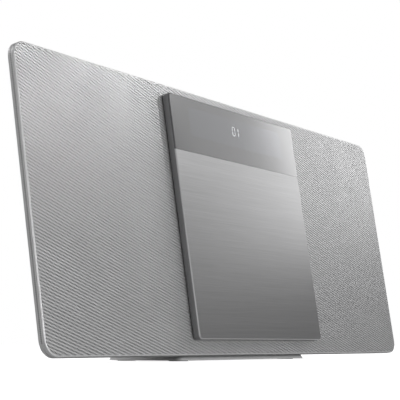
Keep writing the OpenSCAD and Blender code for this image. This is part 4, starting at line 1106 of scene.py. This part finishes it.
def studio_world():
    """A soft, nearly even dome that the camera sees as plain white."""
    world = bpy.data.worlds.new("soft studio")
    bpy.context.scene.world = world
    world.use_nodes = True
    tree = world.node_tree
    tree.nodes.clear()
    upward = add(tree, "ShaderNodeSeparateXYZ", {
        0: add(tree, "ShaderNodeTexCoord").outputs["Generated"]}).outputs["Z"]
    low_angle, high_angle = math.radians(5), math.radians(22)
    horizon, zenith = 0.16, 0.17
    ramp = add(tree, "ShaderNodeMapRange", {
        "Value": upward, "From Min": math.sin(low_angle), "From Max": math.sin(high_angle),
        "To Min": horizon, "To Max": zenith}, interpolation_type="SMOOTHSTEP")
    dome = add(tree, "ShaderNodeBackground", {"Color": (1, 1, 1, 1), "Strength": ramp.outputs[0]})
    white = add(tree, "ShaderNodeBackground", {"Color": (1, 1, 1, 1), "Strength": 1.0})
    seen = add(tree, "ShaderNodeLightPath").outputs["Is Camera Ray"]
    mixed = add(tree, "ShaderNodeMixShader", {0: seen, 1: dome.outputs[0], 2: white.outputs[0]})
    output = add(tree, "ShaderNodeOutputWorld")
    tree.links.new(mixed.outputs[0], output.inputs["Surface"])


def make_floor(shade):
    """Pale floor that looks white to the camera and throws back less light at the object."""
    mesh = bpy.data.meshes.new("floor")
    reach, glow, thrown_back = 6.0, 0.85, (0.72, 0.72, 0.72, 1)
    level = CAD_BOX[0].z
    mesh.from_pydata([(-reach, -reach, level), (reach, -reach, level), (reach, reach, level),
                      (-reach, reach, level)], [], [(0, 1, 2, 3)])
    floor = placed_object("floor", mesh)
    material = bpy.data.materials.new("pale floor")
    material.use_nodes = True
    tree = material.node_tree
    shader = tree.nodes["Principled BSDF"]
    seen = add(tree, "ShaderNodeLightPath").outputs["Is Camera Ray"]
    tone = mixed_colour(tree, seen, thrown_back, (*shade, 1))
    tree.links.new(tone, shader.inputs["Base Color"])
    shader.inputs["Roughness"].default_value = 0.9
    shader.inputs["Emission Color"].default_value = (1, 1, 1, 1)
    tree.links.new(reckon(tree, "MULTIPLY", seen, glow), shader.inputs["Emission Strength"])
    mesh.materials.append(material)


def make_stage(stage):
    """Camera, lights, dome and floor."""
    camera = placed_object("camera", bpy.data.cameras.new("camera"))
    camera.location = CAMERA_PLACE
    camera.rotation_euler = (math.pi / 2 + stage.pitch, 0, -stage.heading)
    camera.data.lens = stage.lens
    camera.data.sensor_width = SENSOR
    camera.data.shift_x, camera.data.shift_y = CAMERA_SHIFT
    camera.data.clip_start = 0.05
    bpy.context.scene.camera = camera
    bpy.context.scene.view_settings.view_transform = "Standard"
    studio_world()
    make_floor(stage.floor)
    key_light(place=(0.95, -0.90, 0.85), heading=(-0.50, 0.86, 0), cone=math.radians(84),
              softness=0.04, power=24.0)
    door = PANEL @ Vector((0.03, 0, 0.14))
    # Each card's name, place, target, width, height and power in watts
    for card in (
            ("front card", (0, -2.2, 0.30), (0, -0.04, 0.05), 1.6, 0.5, 25.0),
            ("broad side card", (1.30, -0.31, 0.80), door, 1.06, 0.89, 0.90),
            ("right side card", (1.29, -0.36, 0.60), door, 0.50, 0.40, 0.56),
            ("low side card", (1.32, -0.30, 0.50), door, 0.45, 0.30, 0.75),
            ("left card", (-1.6, 0.05, 0.35), (-0.25, 0, 0.1), 0.6, 0.4, 4.7),
            ("back fill", (-0.4, 1.4, 0.9), (0, 0, 0.1), 1.2, 0.8, 8.0)):
        area_light(*card)
    sun = placed_object("overhead", bpy.data.lights.new("overhead", "SUN"))
    sun.data.energy = 0.4
    sun.data.angle = math.radians(60)
    sun.rotation_euler = (math.radians(-6), 0, 0)


# ---- Operators and sidebar panel ----

SHARED = {}     # finishes that one step makes and a later one uses as well


class BuildGrille(bpy.types.Operator):
    """Builds the perforated grille"""
    bl_idname = "stereo.grille"
    bl_label = "Grille"

    def execute(self, context):
        make_grille(context.scene.stereo_grille)
        return {"FINISHED"}


class BuildDoor(bpy.types.Operator):
    """Builds the sliding door with its display lens"""
    bl_idname = "stereo.door"
    bl_label = "Sliding door"

    def execute(self, context):
        SHARED["nylon"] = make_door(context.scene.stereo_door)
        return {"FINISHED"}


class BuildHousing(bpy.types.Operator):
    """Finishes the rear housing and the baffle"""
    bl_idname = "stereo.housing"
    bl_label = "Housing"

    def execute(self, context):
        SHARED["plastic"] = make_housing(context.scene.stereo_body)
        return {"FINISHED"}


class BuildWell(bpy.types.Operator):
    """Finishes the disc well and the guide rods"""
    bl_idname = "stereo.well"
    bl_label = "Disc well"

    def execute(self, context):
        SHARED["steel"] = make_well()
        return {"FINISHED"}


class BuildDrives(bpy.types.Operator):
    """Finishes the door drive and the disc drive; run after the door and the well"""
    bl_idname = "stereo.drives"
    bl_label = "Drives"

    def execute(self, context):
        make_drives(SHARED["nylon"], SHARED["steel"])
        return {"FINISHED"}


class BuildSpeakers(bpy.types.Operator):
    """Finishes the drivers and the passive radiators"""
    bl_idname = "stereo.speakers"
    bl_label = "Speakers"

    def execute(self, context):
        make_speakers()
        return {"FINISHED"}


class BuildElectronics(bpy.types.Operator):
    """Finishes the display, the boards and the heat sink"""
    bl_idname = "stereo.electronics"
    bl_label = "Electronics"

    def execute(self, context):
        make_electronics()
        return {"FINISHED"}


class BuildKeys(bpy.types.Operator):
    """Builds the six keys with their signs"""
    bl_idname = "stereo.keys"
    bl_label = "Keys"

    def execute(self, context):
        make_keys(context.scene.stereo_body)
        return {"FINISHED"}


class BuildSockets(bpy.types.Operator):
    """Finishes the sockets on the back"""
    bl_idname = "stereo.sockets"
    bl_label = "Sockets"

    def execute(self, context):
        make_sockets()
        return {"FINISHED"}


class BuildScrews(bpy.types.Operator):
    """Builds every screw with its cross recess"""
    bl_idname = "stereo.screws"
    bl_label = "Screws"

    def execute(self, context):
        make_screws(context.scene.stereo_screws)
        return {"FINISHED"}


class BuildStand(bpy.types.Operator):
    """Finishes the stand; run after the housing"""
    bl_idname = "stereo.stand"
    bl_label = "Stand"

    def execute(self, context):
        make_stand(context.scene.stereo_body, SHARED["plastic"])
        return {"FINISHED"}


class BuildStage(bpy.types.Operator):
    """Places the camera, the lights and the floor"""
    bl_idname = "stereo.stage"
    bl_label = "Stage"

    def execute(self, context):
        make_stage(context.scene.stereo_stage)
        return {"FINISHED"}


OPERATORS = (BuildStage, BuildGrille, BuildDoor, BuildHousing, BuildWell, BuildDrives,
             BuildSpeakers, BuildElectronics, BuildKeys, BuildSockets, BuildScrews, BuildStand)
SETTINGS = {
    "stereo_grille": GrilleSettings, "stereo_door": DoorSettings, "stereo_body": BodySettings,
    "stereo_screws": ScrewSettings, "stereo_stage": StageSettings}


class StereoPanel(bpy.types.Panel):
    """Lists the stereo's settings and the steps that build it"""
    bl_idname = "VIEW3D_PT_stereo"
    bl_label = "Flat Stereo"
    bl_space_type = "VIEW_3D"
    bl_region_type = "UI"
    bl_category = "Stereo"

    def draw(self, context):
        for name, group in SETTINGS.items():
            column = self.layout.column(align=True)
            for setting in group.__annotations__:
                column.prop(getattr(context.scene, name), setting)
        for operator in OPERATORS:
            self.layout.operator(operator.bl_idname)


def register():
    for cls in (*SETTINGS.values(), *OPERATORS, StereoPanel):
        bpy.utils.register_class(cls)
    for name, group in SETTINGS.items():
        setattr(bpy.types.Scene, name, PointerProperty(type=group))


def unregister():
    for name in SETTINGS:
        delattr(bpy.types.Scene, name)
    for cls in reversed((*SETTINGS.values(), *OPERATORS, StereoPanel)):
        bpy.utils.unregister_class(cls)


def main():
    """Builds everything in order."""
    register()
    for operator in OPERATORS:
        category, name = operator.bl_idname.split(".")
        getattr(getattr(bpy.ops, category), name)()


if __name__ == "__main__":
    main()
